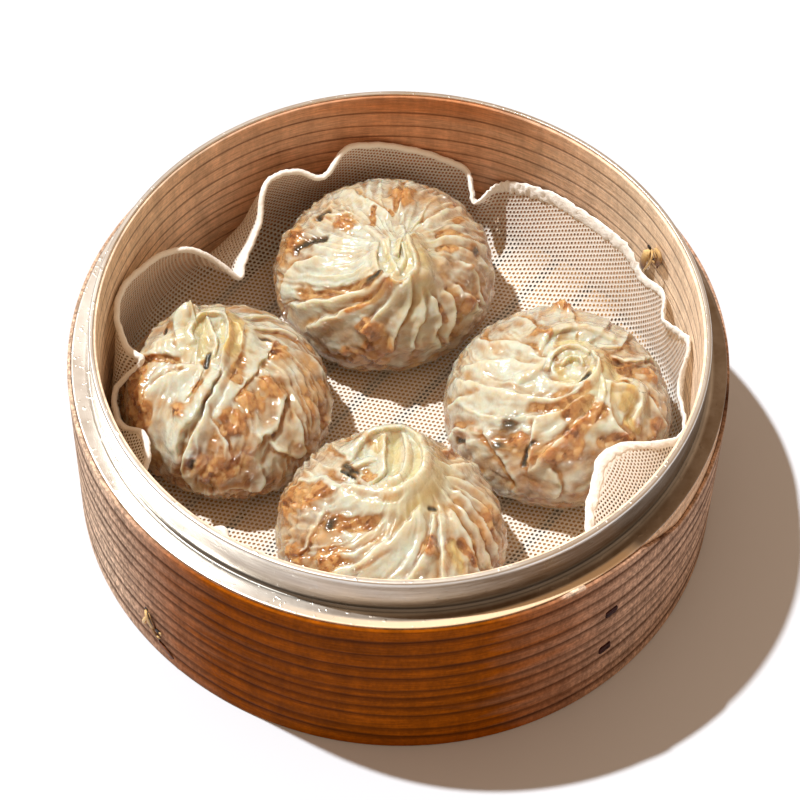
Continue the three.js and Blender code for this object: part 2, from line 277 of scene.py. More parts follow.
def bent_wood(name, colours, line_heights, top, width=0.55, soft=1.3, shine=0.25, coarse=0.24):
    """Straight-grained softwood: broad soft bands, fine fibres along the board, faint rays across
    it, dark late-wood lines, and pores. tone is an attribute that says how far a place is painted
    towards the deep colour: weathering, and round the veneer and the inner hoop also painted light
    and shade, deeper where a face is turned from the light. colours are those of pale wood, of
    deep wood and of the lines."""
    pale, deep, line_colour = colours
    material, tree, shader = finish_named(name, 0.62, Specular_IOR_Level=shine)
    lines = grain_lines(tree, line_heights, top, width, soft)
    tone = carried(tree, "tone")
    bands = speckle(tree, 30, (1, 1, 9), 3.0)
    fibres = speckle(tree, 150, (1, 1, 12), 4.0, 0.65)
    pores = speckle(tree, 700, (1.5, 1.5, 0.8), 2.0, 0.6)
    rays = speckle(tree, 230, (1, 1, 0.16), 3.0, 0.6)
    # The deep colour follows tone, which carries weathering and painted shade.
    weathering_and_shade = sums(tree, "MULTIPLY", tone, 0.85)
    share = sums(tree, "ADD", sums(tree, "MULTIPLY", bands, 0.3), weathering_and_shade, clamp=True)
    colour = blend_colour(tree, share, pale, deep)
    fibre_marks = grade(tree, fibres, 0.35, 0.7, 0.74, 1.20)
    ray_marks = grade(tree, rays, 0.3, 0.7, 0.82, 1.12)
    colour = shade(tree, colour, sums(tree, "MULTIPLY", fibre_marks, ray_marks))
    pore_marks = grade(tree, pores, 0.38, 0.66, 1 - coarse, 1 + coarse)
    colour = shade(tree, colour, pore_marks, grade(tree, tone, 0.2, 1.0, 1.0, 0.25))
    colour = shade(tree, colour, grade(tree, bands, 0.32, 0.68, 0.80, 1.20), grade(tree, tone, 0.4, 1.0))
    line_depth = sums(tree, "MULTIPLY", lines, grade(tree, bands, 0.3, 0.7, 1.0, 0.85))
    colour = blend_colour(tree, line_depth, colour, line_colour)
    tree.links.new(colour, shader.inputs["Base Color"])
    rise = sums(tree, "ADD", sums(tree, "MULTIPLY", fibres, 0.55), sums(tree, "MULTIPLY", pores, 0.5))
    rise = sums(tree, "SUBTRACT", rise, sums(tree, "MULTIPLY", lines, 0.5))
    relief(tree, shader, rise, 0.8, 0.00035)
    return material


section = board_section(board_inside, board_outside, 0, hoop_height, 0.35, 40, 20)
r, a, z = sweep_round(section, azimuths)
board_lines = (8, 21, 33, 44, 55.5)
board_colours = ((0.80, 0.56, 0.36, 1), (0.62, 0.38, 0.22, 1), (0.33, 0.15, 0.06, 1))
board_finish = bent_wood("cedar_board", board_colours, board_lines, 60)
put("outer_hoop_board", on_circle(hand_bent(r, a, z), a, z), hoop_faces(section), board_finish,
    node="outer_hoop", slot="cedar", grain=z + 0.6 * np.sin(2 * a), tone=0.3 + 0 * z)

# Outer wrap: a veneer of darker cedar wound once round the hoop and laced, with late-wood
# lines that run almost level. Its end is cut on a slant at the front right, and to the left
# of the cut a splinter has lifted from the top edge.
lap_azimuth, lap_slant, lap_return, lap_drop = -43.6, 10.8, 66.0, 7.8
splinter_start, splinter_end, splinter_rise = -62, -56.1, 0.9
wrap_lines = (5.8, 9.7, 16.5, 20.8, 25.6, 29.0, 35.4, 40.4, 46.7, 52.9)
# How deep the veneer is painted round the ring: partly weathering, and partly painted shade, deepest at the
# front, which is turned from the light, and palest at the sunlit left.
wrap_weathering_and_shade_ring = (
    (-180, 0.16), (-168, 0.0), (-150, 0.04), (-141, 0.34), (-130, 0.82), (-118, 1.02), (-95, 1.08),
    (-75, 1.02), (-60, 0.80), (-45, 0.46), (-25, 0.34), (0, 0.38), (90, 0.55),
)


def veneer_top(a):
    """Top edge: level, but falling lap_drop mm over lap_slant degrees past the lap, then back."""
    past = (np.degrees(a) - lap_azimuth) % 360
    falling = np.clip(past / lap_slant, 0, 1)
    return hoop_height - lap_drop * falling * (1 - smooth((past - lap_slant) / (lap_return - lap_slant)))


def around(a, middle, width):
    """A smooth hump of height 1 round an azimuth, in degrees, by a Gaussian of that width."""
    return np.exp(-((turn_from(a, middle) / width) ** 2))


def ring_value(pairs, a):
    """A value given at some azimuths, in degrees, and blended evenly between them round the ring."""
    pairs = np.array(sorted((p[0] % 360, p[1]) for p in pairs), dtype=float)
    return np.interp(np.degrees(a) % 360, pairs[:, 0], pairs[:, 1], period=360)


section = board_section(board_outside + 0.1, outer_radius, 0, hoop_height, 0.28, 90, 4)
r, a, z = sweep_round(section, azimuths)
z = z * veneer_top(a) / hoop_height
azimuth = np.degrees(a) - 360
splinter = smooth((azimuth - splinter_start) / 4) * smooth((splinter_end - azimuth) / 0.5)
z = z + splinter_rise * splinter * smooth((z - 56.6) / 1.6)
from_left = turn_from(a, -110)
to_right = smooth((from_left + 10) / 70) * smooth((175 - from_left) / 60)
wrap_grain = z - (z - 20) / 35 * 1.7 * to_right + 0.25 * np.sin(4 * a + 0.05 * z)
ripple = 0.07 * np.sin(1.05 * wrap_grain + 2 * np.sin(3 * a)) * (r > outer_radius - 0.2)
wrap_weathering_and_shade = ring_value(wrap_weathering_and_shade_ring, a) - 1.1 * splinter * smooth((z - hoop_height) / 0.3)
wrap_colours = ((0.77, 0.60, 0.465, 1), (0.250, 0.062, 0.0012, 1), (0.045, 0.011, 0.002, 1))
wrap_finish = bent_wood("cedar_veneer", wrap_colours, wrap_lines, 60, 0.72, 2.3, shine=0.02, coarse=0.42)
put("outer_wrap_veneer", on_circle(hand_bent(r, a, z) + ripple, a, z), hoop_faces(section), wrap_finish,
    node="outer_wrap", slot="cedar_veneer", grain=wrap_grain, tone=wrap_weathering_and_shade)

# Stitches: two short turns of dark dyed bark lacing that come out of slots in the veneer and
# go back in, and hold its end down. Their backs lie in the wood.
stitch_length, stitch_width, stitch_rise = 3.9, 3.0, 0.5
lacing_finish, tree, shader = finish_named("bark_lacing", 0.55, Specular_IOR_Level=0.12)
bark = speckle(tree, 260, (1, 1, 7), 4.0, 0.7)
bark_share = grade(tree, bark, 0.35, 0.7)
bark_colour = blend_colour(tree, bark_share, (0.008, 0.002, 0.0015, 1), (0.050, 0.009, 0.007, 1))
tree.links.new(bark_colour, shader.inputs["Base Color"])
relief(tree, shader, bark, 0.8, 0.0004)


def tube_faces(rows, sides, first=0, turned=False):
    """Faces of a tube of rows by sides points, numbered from first, with one flat face at
    each end. They point the other way where turned."""
    faces = grid_faces(rows, sides, False, True).tolist()
    faces += [list(range(sides))[::-1], list(range((rows - 1) * sides, rows * sides))]
    return [[first + i for i in (f[::-1] if turned else f)] for f in faces]


def lacing_turn(name, azimuth, height, seed):
    """A flat pillow on the veneer. Its outline is the rounded box |x/a|⁵ + |y/b|⁵ = 1, carried
    out of the wood and drawn in over the top, with a crease where the strip is folded."""
    t = np.linspace(0, 2 * np.pi, 64, endpoint=False)
    c, s = np.cos(t), np.sin(t)
    reach = (np.abs(c) ** 5 + np.abs(s) ** 5) ** -0.2
    shares = np.array([0.2, 0.7, 1.0, 1.0, 0.97, 0.9, 0.75, 0.55, 0.3])[:, None]
    rises = np.array([-0.7, -0.7, -0.6, 0.2, 0.72, 0.92, 1, 1, 1])[:, None] * stitch_rise
    x = 0.5 * stitch_length * shares * (reach * c)[None] * (1 + 0.05 * np.sin(3 * t + seed))
    y = 0.5 * stitch_width * shares * (reach * s)[None] * (1 + 0.07 * np.sin(2 * t + 2 * seed))
    fold = 0.12 * np.exp(-(((x - 0.4) / 0.3) ** 2)) * (rises > 0.3)
    up = rises + 0.06 * np.sin(2.6 * y + seed) * (rises > 0) - fold
    a = math.radians(azimuth) + x / outer_radius
    z = height + y + 0.12 * x
    points = on_circle(hand_bent(outer_radius, a, z) + up, a, z)
    return put(name + "_lacing", points, tube_faces(*x.shape), lacing_finish, node=name, slot="dark_lacing")


lacing_turn("stitch_upper", -49.8, 38.3, 1)
lacing_turn("stitch_lower", -50.2, 20.9, 4)

# Inner hoop: one bent board of pale cypress that stands higher than the outer hoop. Fine
# dark lines run round its inner face, more closely below.
inner_radius, nest_depth, total_height, band_radius, sheet_metal = 81.3, 13.4, 70.9, 83.45, 0.45
inner_lines = (22, 28, 33, 38.2, 40.6, 45.3, 48.6, 53.7, 58.4, 63.9)
# How deep the cypress is painted round the ring: partly weathering, and partly painted light and shade,
# deepest on the back wall, which is in shade, pale on the sunlit right and on the left, and deeper near the
# top at the back.
inner_weathering_and_shade_ring = (
    (-40, -0.1), (0, -0.1), (20, -0.16), (38, -0.16), (55, 0.22), (75, 0.66), (95, 0.78), (125, 0.50),
    (150, 0.06), (180, -0.12),
)
inner_top = total_height - sheet_metal - 0.2
section = board_section(inner_radius, band_radius - sheet_metal - 0.25, nest_depth, inner_top, 0.4, 12, 90)
below_band = (section[:, 0] > 82.5) & (section[:, 1] < hoop_height)
section[:, 0] += 0.7 * below_band    # below the band the board is thick enough to meet the outer one
r, a, z = sweep_round(section, azimuths)
low_shift = 1.2 * around(a, 140, 22) + 0.6 * around(a, 112, 14) - 0.35 * around(a, 92, 12)
inner_grain = z - low_shift - 1.3 * around(a, 35, 26) * smooth((z - 48) / 14)
inner_weathering_and_shade = ring_value(inner_weathering_and_shade_ring, a) + 0.25 * around(a, 80, 22) * smooth((z - 60) / 7)
inner_r = hand_bent(r, a, z) + WAVE_ROOM + 0.03 * np.sin(1.4 * inner_grain) * (r < 81.5)
inner_colours = ((1.0, 0.83, 0.65, 1), (0.58, 0.215, 0.072, 1), (0.075, 0.018, 0.005, 1))
inner_finish = bent_wood("cypress_board", inner_colours, inner_lines, 72, 0.62, 0.40, coarse=0.09)
put("inner_hoop_board", on_circle(inner_r, a, z), hoop_faces(section), inner_finish,
    node="inner_hoop", slot="pale_wood", grain=inner_grain, tone=inner_weathering_and_shade)

# Rim band: thin bright steel bent over the inner hoop: a lip on its top edge, a raised wall
# outside it and a flange on the outer hoop. It is rolled by hand, so its faces wave a little.
flange_radius, lip_radius = 88.7, 82.0
flange_low = hoop_height + 0.1


def band_section():
    """Closed section of the sheet: flange, small fillet, wall, rolled top, lip and the way back."""
    flange = np.linspace(flange_radius - 0.2, band_radius + 0.9, 12)
    flange_top = flange_low + sheet_metal
    wall = np.linspace(flange_top + 1.2, total_height - 0.9, 24)
    lip = np.linspace(band_radius - 0.7, lip_radius + 0.2, 6)
    fillet = np.radians(np.linspace(270, 180, 6))
    wall_inside, lip_under = band_radius - sheet_metal, total_height - sheet_metal
    back = [
        (lip_radius, lip_under), (wall_inside - 0.1, lip_under), (wall_inside, lip_under - 0.2),
        (wall_inside, flange_low + 0.1), (wall_inside + 0.1, flange_low),
        (flange_radius - 0.1, flange_low), (flange_radius, flange_low + 0.1),
        (flange_radius, flange_low + 0.35),
    ]
    return np.concatenate([
        np.stack([flange, np.full_like(flange, flange_top)], -1),
        np.stack([band_radius + 0.7 + 0.7 * np.cos(fillet), flange_top + 0.7 + 0.7 * np.sin(fillet)], -1),
        np.stack([np.full_like(wall, band_radius), wall], -1),
        round_corner((band_radius - 0.6, total_height - 0.6), 0.6, 0, 6),
        np.stack([lip, np.full_like(lip, total_height)], -1),
        np.array(back),
    ])


section = band_section()
r, a, z = sweep_round(section, azimuths)
on_flange = smooth((r - 84.0) / 1.5) * (z > flange_low + 0.3) * (z < 60)
on_wall = (r > 83.2) * smooth((z - 59.5) / 2) * smooth((70.3 - z) / 1.5)
dents = 0.05 * np.sin(7 * a + 1.0) + 0.04 * np.sin(11 * a + 0.4) + 0.025 * np.sin(23 * a + 0.6 * z)
bulge = 0.12 * np.sin(0.5 * (z - 58))
seat = around(a, -152, 24) * smooth((r - 83.4) / 0.3) * smooth((84.6 - r) / 0.4) * (z < 60)
flange_waves = 0.05 * np.sin(9 * a + 0.8) + 0.03 * np.sin(17 * a)
band_r = hand_bent(r, a, z) + WAVE_ROOM + (dents + bulge) * on_wall
band_z = z + flange_waves * on_flange - 0.35 * seat

# How dark, dusty and tarnished the steel is painted at each place, from 0 to 1, round the
# basket. Its darkness is partly tarnished steel and partly painted light: a painted shadow on
# the flange and a painted reflection on the wall.
# On the wall the darkness is also a painted dark reflection of the shaded flange, and a patch near the top at
# the front is left lighter, a painted brighter reflection.
wall_dull = ring_value((
    (-180, 0.3), (-140, 0.3), (-120, 0.36), (-100, 0.5), (-80, 0.85), (-55, 0.98), (-20, 0.9), (10, 0.8),
    (40, 0.5), (70, 0.2),
), a)
wall_light_reflection_patch = 0.45 * around(a, -97, 22) * smooth((z - 62) / 2) * smooth((69 - z) / 2)
# On the flange the darkness is also a painted shadow of the raised wall: its inner part is dark, and its
# outer part is left clean where the light falls past the wall's shadow.
flange_dull = ring_value(((-180, 0), (-110, 0), (-85, 0.8), (-56, 0.9), (20, 0.8), (60, 0.1), (90, 0)), a)
outer_part = smooth((r - 86.3) / 0.8)
flange_past_wall_shadow = outer_part * ring_value(((-180, 1), (-46, 1), (-43, 0), (60, 0), (90, 1)), a)
dull = np.maximum(on_wall * wall_dull * (1 - wall_light_reflection_patch), on_flange * flange_dull * (1 - flange_past_wall_shadow))
dust_ring = ((-180, 0), (-115, 0), (-98, 0.7), (-80, 0.95), (-47, 0.9), (-43.5, 0), (0, 0))
cream = on_flange * outer_part * ring_value(dust_ring, a)
# A near-black line painted in the corner where the wall meets the flange: a painted shadow.
corner_shadow_band = smooth((r - 83.3) / 0.1) * smooth((84.6 - r) / 0.5) * smooth((61.0 - z) / 1.2)
corner_shadow_ring = ((-180, 0), (-150, 0.2), (-130, 0.7), (-60, 0.75), (0, 0.5), (60, 0), (120, 0))
foot = corner_shadow_band * (z > flange_low + 0.3) * ring_value(corner_shadow_ring, a)

band_finish, tree, shader = finish_named("rolled_steel", 0.3, Metallic=1.0)
streaks = speckle(tree, 60, (1, 1, 14), 4.0, 0.7)
smears = speckle(tree, 45, (1, 1, 1), 4.0, 0.6)
wet_spots = speckle(tree, 700, (1, 1, 1), 2.0, 0.5)
tree.links.new(grade(tree, smears, 0.3, 0.75, 0.26, 0.46), shader.inputs["Roughness"])
steel = blend_colour(tree, grade(tree, smears, 0.35, 0.7), (0.80, 0.79, 0.76, 1), (0.66, 0.64, 0.60, 1))
streaky = sums(tree, "SUBTRACT", streaks, 0.5)
# The streaks and the painted darkness blend the steel towards dark brown: tarnished steel with painted shadow
# and reflection.
tarnish_and_shade_share = sums(tree, "MULTIPLY_ADD", streaky, 0.9, carried(tree, "dull"), clamp=True)
steel = blend_colour(tree, tarnish_and_shade_share, steel, (0.21, 0.155, 0.105, 1))
wood_dust = carried(tree, "cream")
steel = blend_colour(tree, wood_dust, steel, (0.88, 0.68, 0.44, 1))
tree.links.new(sums(tree, "SUBTRACT", 1.0, wood_dust), shader.inputs["Metallic"])
# The painted shadow in the corner at the wall's foot, near black.
steel = blend_colour(tree, carried(tree, "foot"), steel, (0.025, 0.02, 0.016, 1))
tree.links.new(steel, shader.inputs["Base Color"])
drops = grade(tree, wet_spots, 0.62, 0.72, 0, 0.7)
relief(tree, shader, sums(tree, "ADD", sums(tree, "MULTIPLY", streaks, 0.6), drops), 0.35, 0.0002)
put("rim_band_steel", on_circle(band_r, a, band_z), hoop_faces(section), band_finish,
    node="rim_band", slot="rim_metal", dull=dull, cream=cream, foot=foot)

# Cane ties: flat strands of split cane that come through small holes and close the hoops'
# laps, one twisted on the outside at the left, one knotted on the inside at the right.
cane_finish, tree, shader = finish_named("split_cane", 0.42, Specular_IOR_Level=0.4)
worn = carried(tree, "worn")
cane_fibre = speckle(tree, 700, (1, 1, 1), 4.0, 0.7)
cane_colour = blend_colour(tree, cane_fibre, (0.56, 0.34, 0.10, 1), (0.86, 0.66, 0.34, 1))
# Darker strands go brown and the darkest near black: partly from use, and partly painted shade in crevices,
# under the knot and inside the holes.
cane_colour = blend_colour(tree, grade(tree, worn, 0, 0.7), cane_colour, (0.16, 0.050, 0.014, 1))
cane_colour = blend_colour(tree, grade(tree, worn, 0.7, 1), cane_colour, (0.012, 0.004, 0.002, 1))
tree.links.new(cane_colour, shader.inputs["Base Color"])
relief(tree, shader, cane_fibre, 0.8, 0.0003)


def curve_between(before, start, end, after, f):
    """Catmull-Rom curve from start to end, f from 0 to 1, by the points before and after."""
    straight = (end - before) * f
    square = (2 * before - 5 * start + 4 * end - after) * f ** 2
    cube = (3 * start - before - 3 * end + after) * f ** 3
    return 0.5 * (2 * start + straight + square + cube)


def along_path(points, t):
    """The smooth curve through a short list of points, t from 0 to 1 by point number."""
    n = len(points) - 1
    s = np.clip(t, 0, 1) * n
    k = np.minimum(s.astype(int), n - 1)
    return curve_between(*(points[np.clip(k + j, 0, n)] for j in (-1, 0, 1, 2)), (s - k)[..., None])


def unit(vectors):
    """The same directions with length 1."""
    return vectors / np.linalg.norm(vectors, axis=-1, keepdims=True)


def cane_tie(name, radius, outward_sign, strands, holes):
    """Strands as (path of azimuth, height and stand-off from the hoop, width, thickness, darkness at
    its start, darkness at its end), each an ellipse carried along a smooth curve through the path
    and narrowed at both ends, and holes as (azimuth, height, radius) shown by near-black discs,
    a painted shade inside the holes. The darkness is partly from use and partly painted shade, in
    the crevices between strands and under the knot."""
    points, faces, wear_and_shade_values = [], [], []
    sides, steps = 12, 28
    t = np.linspace(0, 2 * np.pi, sides, endpoint=False)
    from_end = np.minimum(np.arange(steps) + 0.6, steps - 0.4 - np.arange(steps))
    narrowing = np.sqrt(np.clip(from_end / 3, 0, 1))[:, None, None]
    oval = (1 + 0.08 * np.sin(5 * t)) / 2
    for path, width, thickness, from_worn, to_worn in strands:
        line = along_path(np.array(path, dtype=float), np.linspace(0, 1, steps))
        a, z = np.radians(line[:, 0]), line[:, 1]
        centre = on_circle(hand_bent(radius, a, z) + outward_sign * line[:, 2], a, z)
        ahead = unit(np.gradient(centre, axis=0))
        side = unit(np.cross(ahead, outward_sign * on_circle(1, a, 0 * a)))
        lift = np.cross(side, ahead)
        wide = (width * oval * np.cos(t))[:, None] * side[:, None]
        thick = (thickness * oval * np.sin(t))[:, None] * lift[:, None]
        faces += tube_faces(steps, sides, sum(len(p) for p in points))
        points.append((centre[:, None] + narrowing * (wide + thick)).reshape(-1, 3))
        wear_and_shade_values.append(np.repeat(np.linspace(from_worn, to_worn, steps), sides))
    disc = ((1.0, -0.3), (1.0, 0.16), (0.7, 0.14), (0.3, 0.12))    # share of the radius, and rise
    for azimuth, height, size in holes:
        faces += tube_faces(len(disc), sides, sum(len(p) for p in points), outward_sign < 0)
        for share, rise in disc:
            a = math.radians(azimuth) + size * share * np.cos(t) / radius
            z = height + 0.8 * size * share * np.sin(t)
            points.append(on_circle(hand_bent(radius, a, z) + outward_sign * rise, a, z))
            wear_and_shade_values.append(np.ones(sides))
    return put(name + "_strands", np.concatenate(points), faces, cane_finish,
               node=name, slot="cane", worn=np.concatenate(wear_and_shade_values))


cane_tie("cane_tie_outside", outer_radius, 1, [
    ([(-137.9, 17.2, 0.1), (-137.1, 18.0, 0.9), (-136.8, 17.0, 1.1), (-136.5, 15.3, 1.0),
      (-136.2, 13.6, 0.8), (-136.0, 10.9, 0.2)], 1.2, 0.9, -0.15, 0.35),
    ([(-137.3, 15.7, 0.4), (-137.7, 14.0, 1.0), (-138.3, 11.6, 0.9), (-138.3, 10.3, 0.3)],
     1.0, 0.8, -0.25, 0.0),
    ([(-137.0, 17.7, 0.3), (-136.2, 18.0, 0.9), (-135.8, 16.7, 1.0), (-135.7, 14.5, 0.7),
      (-135.7, 11.8, 0.2)], 0.55, 0.5, 0.3, 0.7),
    ([(-136.9, 18.8, 0.8), (-136.1, 18.4, 1.3), (-135.8, 17.0, 1.3), (-135.6, 14.7, 1.0)],
     0.25, 0.3, 0.95, 0.95),
    ([(-137.1, 11.8, 0.3), (-136.0, 12.1, 0.8), (-135.4, 10.6, 0.8), (-135.1, 8.2, 0.4)],
     0.7, 0.6, 0.35, 0.6),
    ([(-135.4, 9.4, 0.3), (-134.6, 10.2, 0.7), (-134.4, 9.4, 0.3)], 0.5, 0.5, -0.1, 0.2),
    ([(-134.6, 12.1, 0.3), (-133.9, 13.1, 0.6), (-134.1, 11.5, 0.3)], 0.45, 0.45, 0.0, 0.3),
    ([(-135.2, 6.7, 0.1), (-133.7, 6.5, 0.4), (-132.5, 5.5, 0.4), (-131.5, 3.5, 0.1)], 1.5, 0.6, 0.66, 0.8),
], [(-137.8, 18.2, 0.6), (-135.2, 11.6, 1.1), (-134.8, 7.5, 0.6)])
cane_tie("cane_tie_inside", inner_radius, -1, [
    ([(31.5, 53.3, 0.1), (31.3, 52.8, 1.0), (31.3, 51.0, 1.4), (31.6, 48.9, 1.4), (31.9, 46.3, 1.0),
      (32.3, 43.5, 0.2)], 2.5, 1.1, -0.25, 0.95),
    ([(30.9, 54.1, 0.3), (30.6, 53.3, 1.0), (30.5, 51.5, 0.9), (30.9, 48.7, 0.2)], 1.2, 0.8, -0.05, 0.35),
    ([(29.4, 56.4, 0.1), (27.5, 59.0, 1.2), (26.2, 59.5, 1.6), (26.2, 57.6, 1.4), (27.2, 54.3, 0.8),
      (28.7, 51.2, 0.1)], 1.7, 1.1, -0.1, 0.95),
    ([(29.6, 55.6, 0.2), (28.5, 56.0, 0.9), (28.0, 55.0, 0.9), (28.5, 52.0, 0.2)], 1.3, 0.8, 0.1, 0.8),
    ([(28.2, 52.6, 0.2), (27.7, 52.4, 0.5), (28.0, 50.5, 0.1)], 0.5, 0.5, 0.8, 0.8),
    ([(30.4, 55.2, 0.3), (28.3, 57.8, 2.2), (27.6, 57.4, 2.8), (28.0, 54.6, 2.8), (29.2, 50.6, 2.4),
      (31.1, 45.3, 1.4)], 0.65, 0.5, -0.25, -0.25),
    ([(29.4, 51.6, 0.5), (28.4, 52.9, 1.0), (28.6, 51.6, 0.4)], 0.7, 0.6, 0.2, 0.5),
], [(31.6, 54.2, 0.75), (29.4, 51.5, 0.8)])

# Floor: flat strips of split bamboo laid side by side on two cross bars inside the inner
# hoop, with narrow gaps between them for the steam.
slat_top, slat_thickness, slat_width, slat_pitch, slat_offset = 19.4, 2.7, 10.6, 13.4, 3.9
slat_azimuth, bar_width, bar_spread = 53, 9.0, 42.0


def strip_section(half_width, thickness, ease):
    """Closed section of a planed strip in (across, up): a flat box with eased long edges."""
    corners = ((half_width, 0), (half_width, thickness), (-half_width, thickness), (-half_width, 0))
    parts = []
    for (x, y), start in zip(corners, (-90, 0, 90, 180)):
        middle = (x - math.copysign(ease, x), ease if y == 0 else y - ease)
        parts.append(round_corner(middle, ease, start, 4))
    return np.concatenate(parts)


def split_strip(name, across_from, across_to, half_length, azimuth, top, thickness, seed):
    """A strip's section carried along its length, a little bowed and with ends eased by
    narrowing the section at the last stations. Closed at both ends by one flat face."""
    middle, half_width = (across_from + across_to) / 2, (across_to - across_from) / 2
    outline = strip_section(half_width, thickness, 0.35)
    end = np.array([half_length, half_length - 0.25])
    along = np.concatenate([-end, np.linspace(1 - half_length, half_length - 1, 40), end[::-1]])
    share = np.ones_like(along)[:, None]
    share[[0, -1]] = 0.94
    sag = 0.05 * np.sin(along / 21 + seed)[:, None] - 0.05
    across = middle + outline[:, 0] * share
    up = top - thickness / 2 + (outline[:, 1] - thickness / 2) * share + sag
    c, s = math.cos(math.radians(azimuth)), math.sin(math.radians(azimuth))
    points = np.stack([along[:, None] * c - across * s, along[:, None] * s + across * c, up], -1)
    faces = tube_faces(len(along), len(outline), turned=True)
    return put(name + "_bamboo", points, faces, bamboo_finish, node=name, slot="bamboo")


bamboo_finish, tree, shader = finish_named("split_bamboo", 0.5, Specular_IOR_Level=0.35)
place = wire(tree, "TexCoord", {}).outputs["Object"]
along_slats = {"Vector": place, "Rotation": (0, 0, math.radians(-slat_azimuth))}
turned_place = wire(tree, "Mapping", along_slats).outputs[0]
stretched = wire(tree, "Mapping", {"Vector": turned_place, "Scale": (0.08, 1, 1)}).outputs[0]
fibre_settings = {"Vector": stretched, "Scale": 900, "Detail": 4.0, "Roughness": 0.6}
fibre = wire(tree, "TexNoise", fibre_settings).outputs["Fac"]
patch = wire(tree, "TexNoise", {"Vector": turned_place, "Scale": 25, "Detail": 2.0}).outputs["Fac"]
bamboo_colour = blend_colour(tree, fibre, (0.58, 0.42, 0.22, 1), (0.88, 0.74, 0.48, 1))
patchy = grade(tree, patch, 0.4, 0.8, 0, 0.45)
bamboo_colour = blend_colour(tree, patchy, bamboo_colour, (0.50, 0.32, 0.15, 1))
tree.links.new(bamboo_colour, shader.inputs["Base Color"])
relief(tree, shader, fibre, 0.5, 0.0003)
floor_radius = inner_radius - 0.3
outermost = floor_radius - 2


def half_chord(from_middle):
    """Half the room inside the inner hoop along a line that far from its middle, less 0.1 mm."""
    return math.sqrt(floor_radius ** 2 - from_middle ** 2) - 0.1


for number, k in enumerate(range(-6, 6)):
    middle = -(slat_offset + k * slat_pitch)
    low, high = max(middle - slat_width / 2, -outermost), min(middle + slat_width / 2, outermost)
    half_length = half_chord(max(abs(low), abs(high)))
    split_strip(f"slat_{number + 1:02d}", low, high, half_length, slat_azimuth, slat_top, slat_thickness, k)
bar_top = slat_top - slat_thickness - 0.3
bar_thickness = bar_top - nest_depth - 0.3
bar_azimuth, half_length = slat_azimuth + 90, half_chord(bar_spread + bar_width / 2)
for number, side in enumerate((-1, 1)):
    low, high = side * bar_spread - bar_width / 2, side * bar_spread + bar_width / 2
    split_strip(f"cross_bar_{number + 1}", low, high, half_length, bar_azimuth, bar_top, bar_thickness, side)

# Gauze liner: a round cotton cloth, flat on the slats and turned up the wall, where its
# spare width stands in waves and folds. The open weave has oval holes in staggered rows.
gauze_thickness, gauze_top, liner_radius, bend = 0.6, 20.3, 80.2, 7.0
lean_power = 3
slope_azimuth, slope_width, slope_reach = 50, 24, 14
gauze_middle = gauze_top - gauze_thickness / 2
hole_across, hole_down, hole_slant, weave_turn = 1.26, 1.29, 40, 9
hem_path = np.array([  # azimuth, radius and height of the hem, as it goes round
    [-8, 79.2, 41], [2, 77.4, 42], [7, 80, 53], [12, 79.3, 50], [18, 77, 46], [22.5, 79.6, 49],
    [31, 80, 43.5], [37.7, 80, 47.5], [47, 80, 46.7], [58, 80, 46.5], [65, 80, 44.5], [70, 79.4, 42],
    [73.5, 71, 40.5], [77, 79, 45], [83, 80, 47.7], [91, 80, 51], [99.8, 78.6, 54.2],
    [103.2, 76.9, 54.6], [107.3, 72.9, 51], [110, 71.9, 50.2], [115, 73.7, 53.6], [120.2, 73.8, 54.8],
    [124, 71.4, 53.4], [127.2, 67.2, 47.2], [131.5, 64.6, 42.4], [136.5, 61.8, 40],
    [139.8, 60.1, 38.6], [142.4, 64.2, 44], [145.2, 68.5, 49.2], [149, 72.4, 53], [156, 76.9, 54.6],
    [168, 79.7, 56], [177, 74.7, 52], [180, 69.8, 50.2], [182.8, 77, 43], [186.5, 77.7, 40],
    [192, 76, 42], [197, 71.5, 46], [203, 71.8, 46], [208, 77, 40], [216, 79, 38], [224, 73, 42],
    [229, 68, 46.5], [234, 72, 43], [241, 79, 39], [255, 80, 42], [270, 79, 39.5], [285, 80, 42],
    [300, 79.3, 41], [311, 78.5, 41], [319, 67.5, 44], [325, 63.5, 46.5], [333, 60.8, 50],
    [340, 64.3, 49.4], [345, 72, 46],
])


def smooth_ring(points, per_span):
    """The smooth curve through a ring of points: per_span samples between each two."""
    n = len(points)
    turn = np.zeros_like(points)
    turn[:, 0] = 360
    whole = np.concatenate([points[-2:] - turn[-2:], points, points[:3] + turn[:3]])
    f = (np.arange(n * per_span) % per_span / per_span)[:, None]
    k = np.arange(n * per_span) // per_span + 2
    return curve_between(whole[k - 1], whole[k], whole[k + 1], whole[k + 2], f)


hem = smooth_ring(hem_path, 16)
hem_azimuth, hem_radius, hem_height = np.radians(hem[:, 0]), np.minimum(hem[:, 1], 80.3), hem[:, 2]


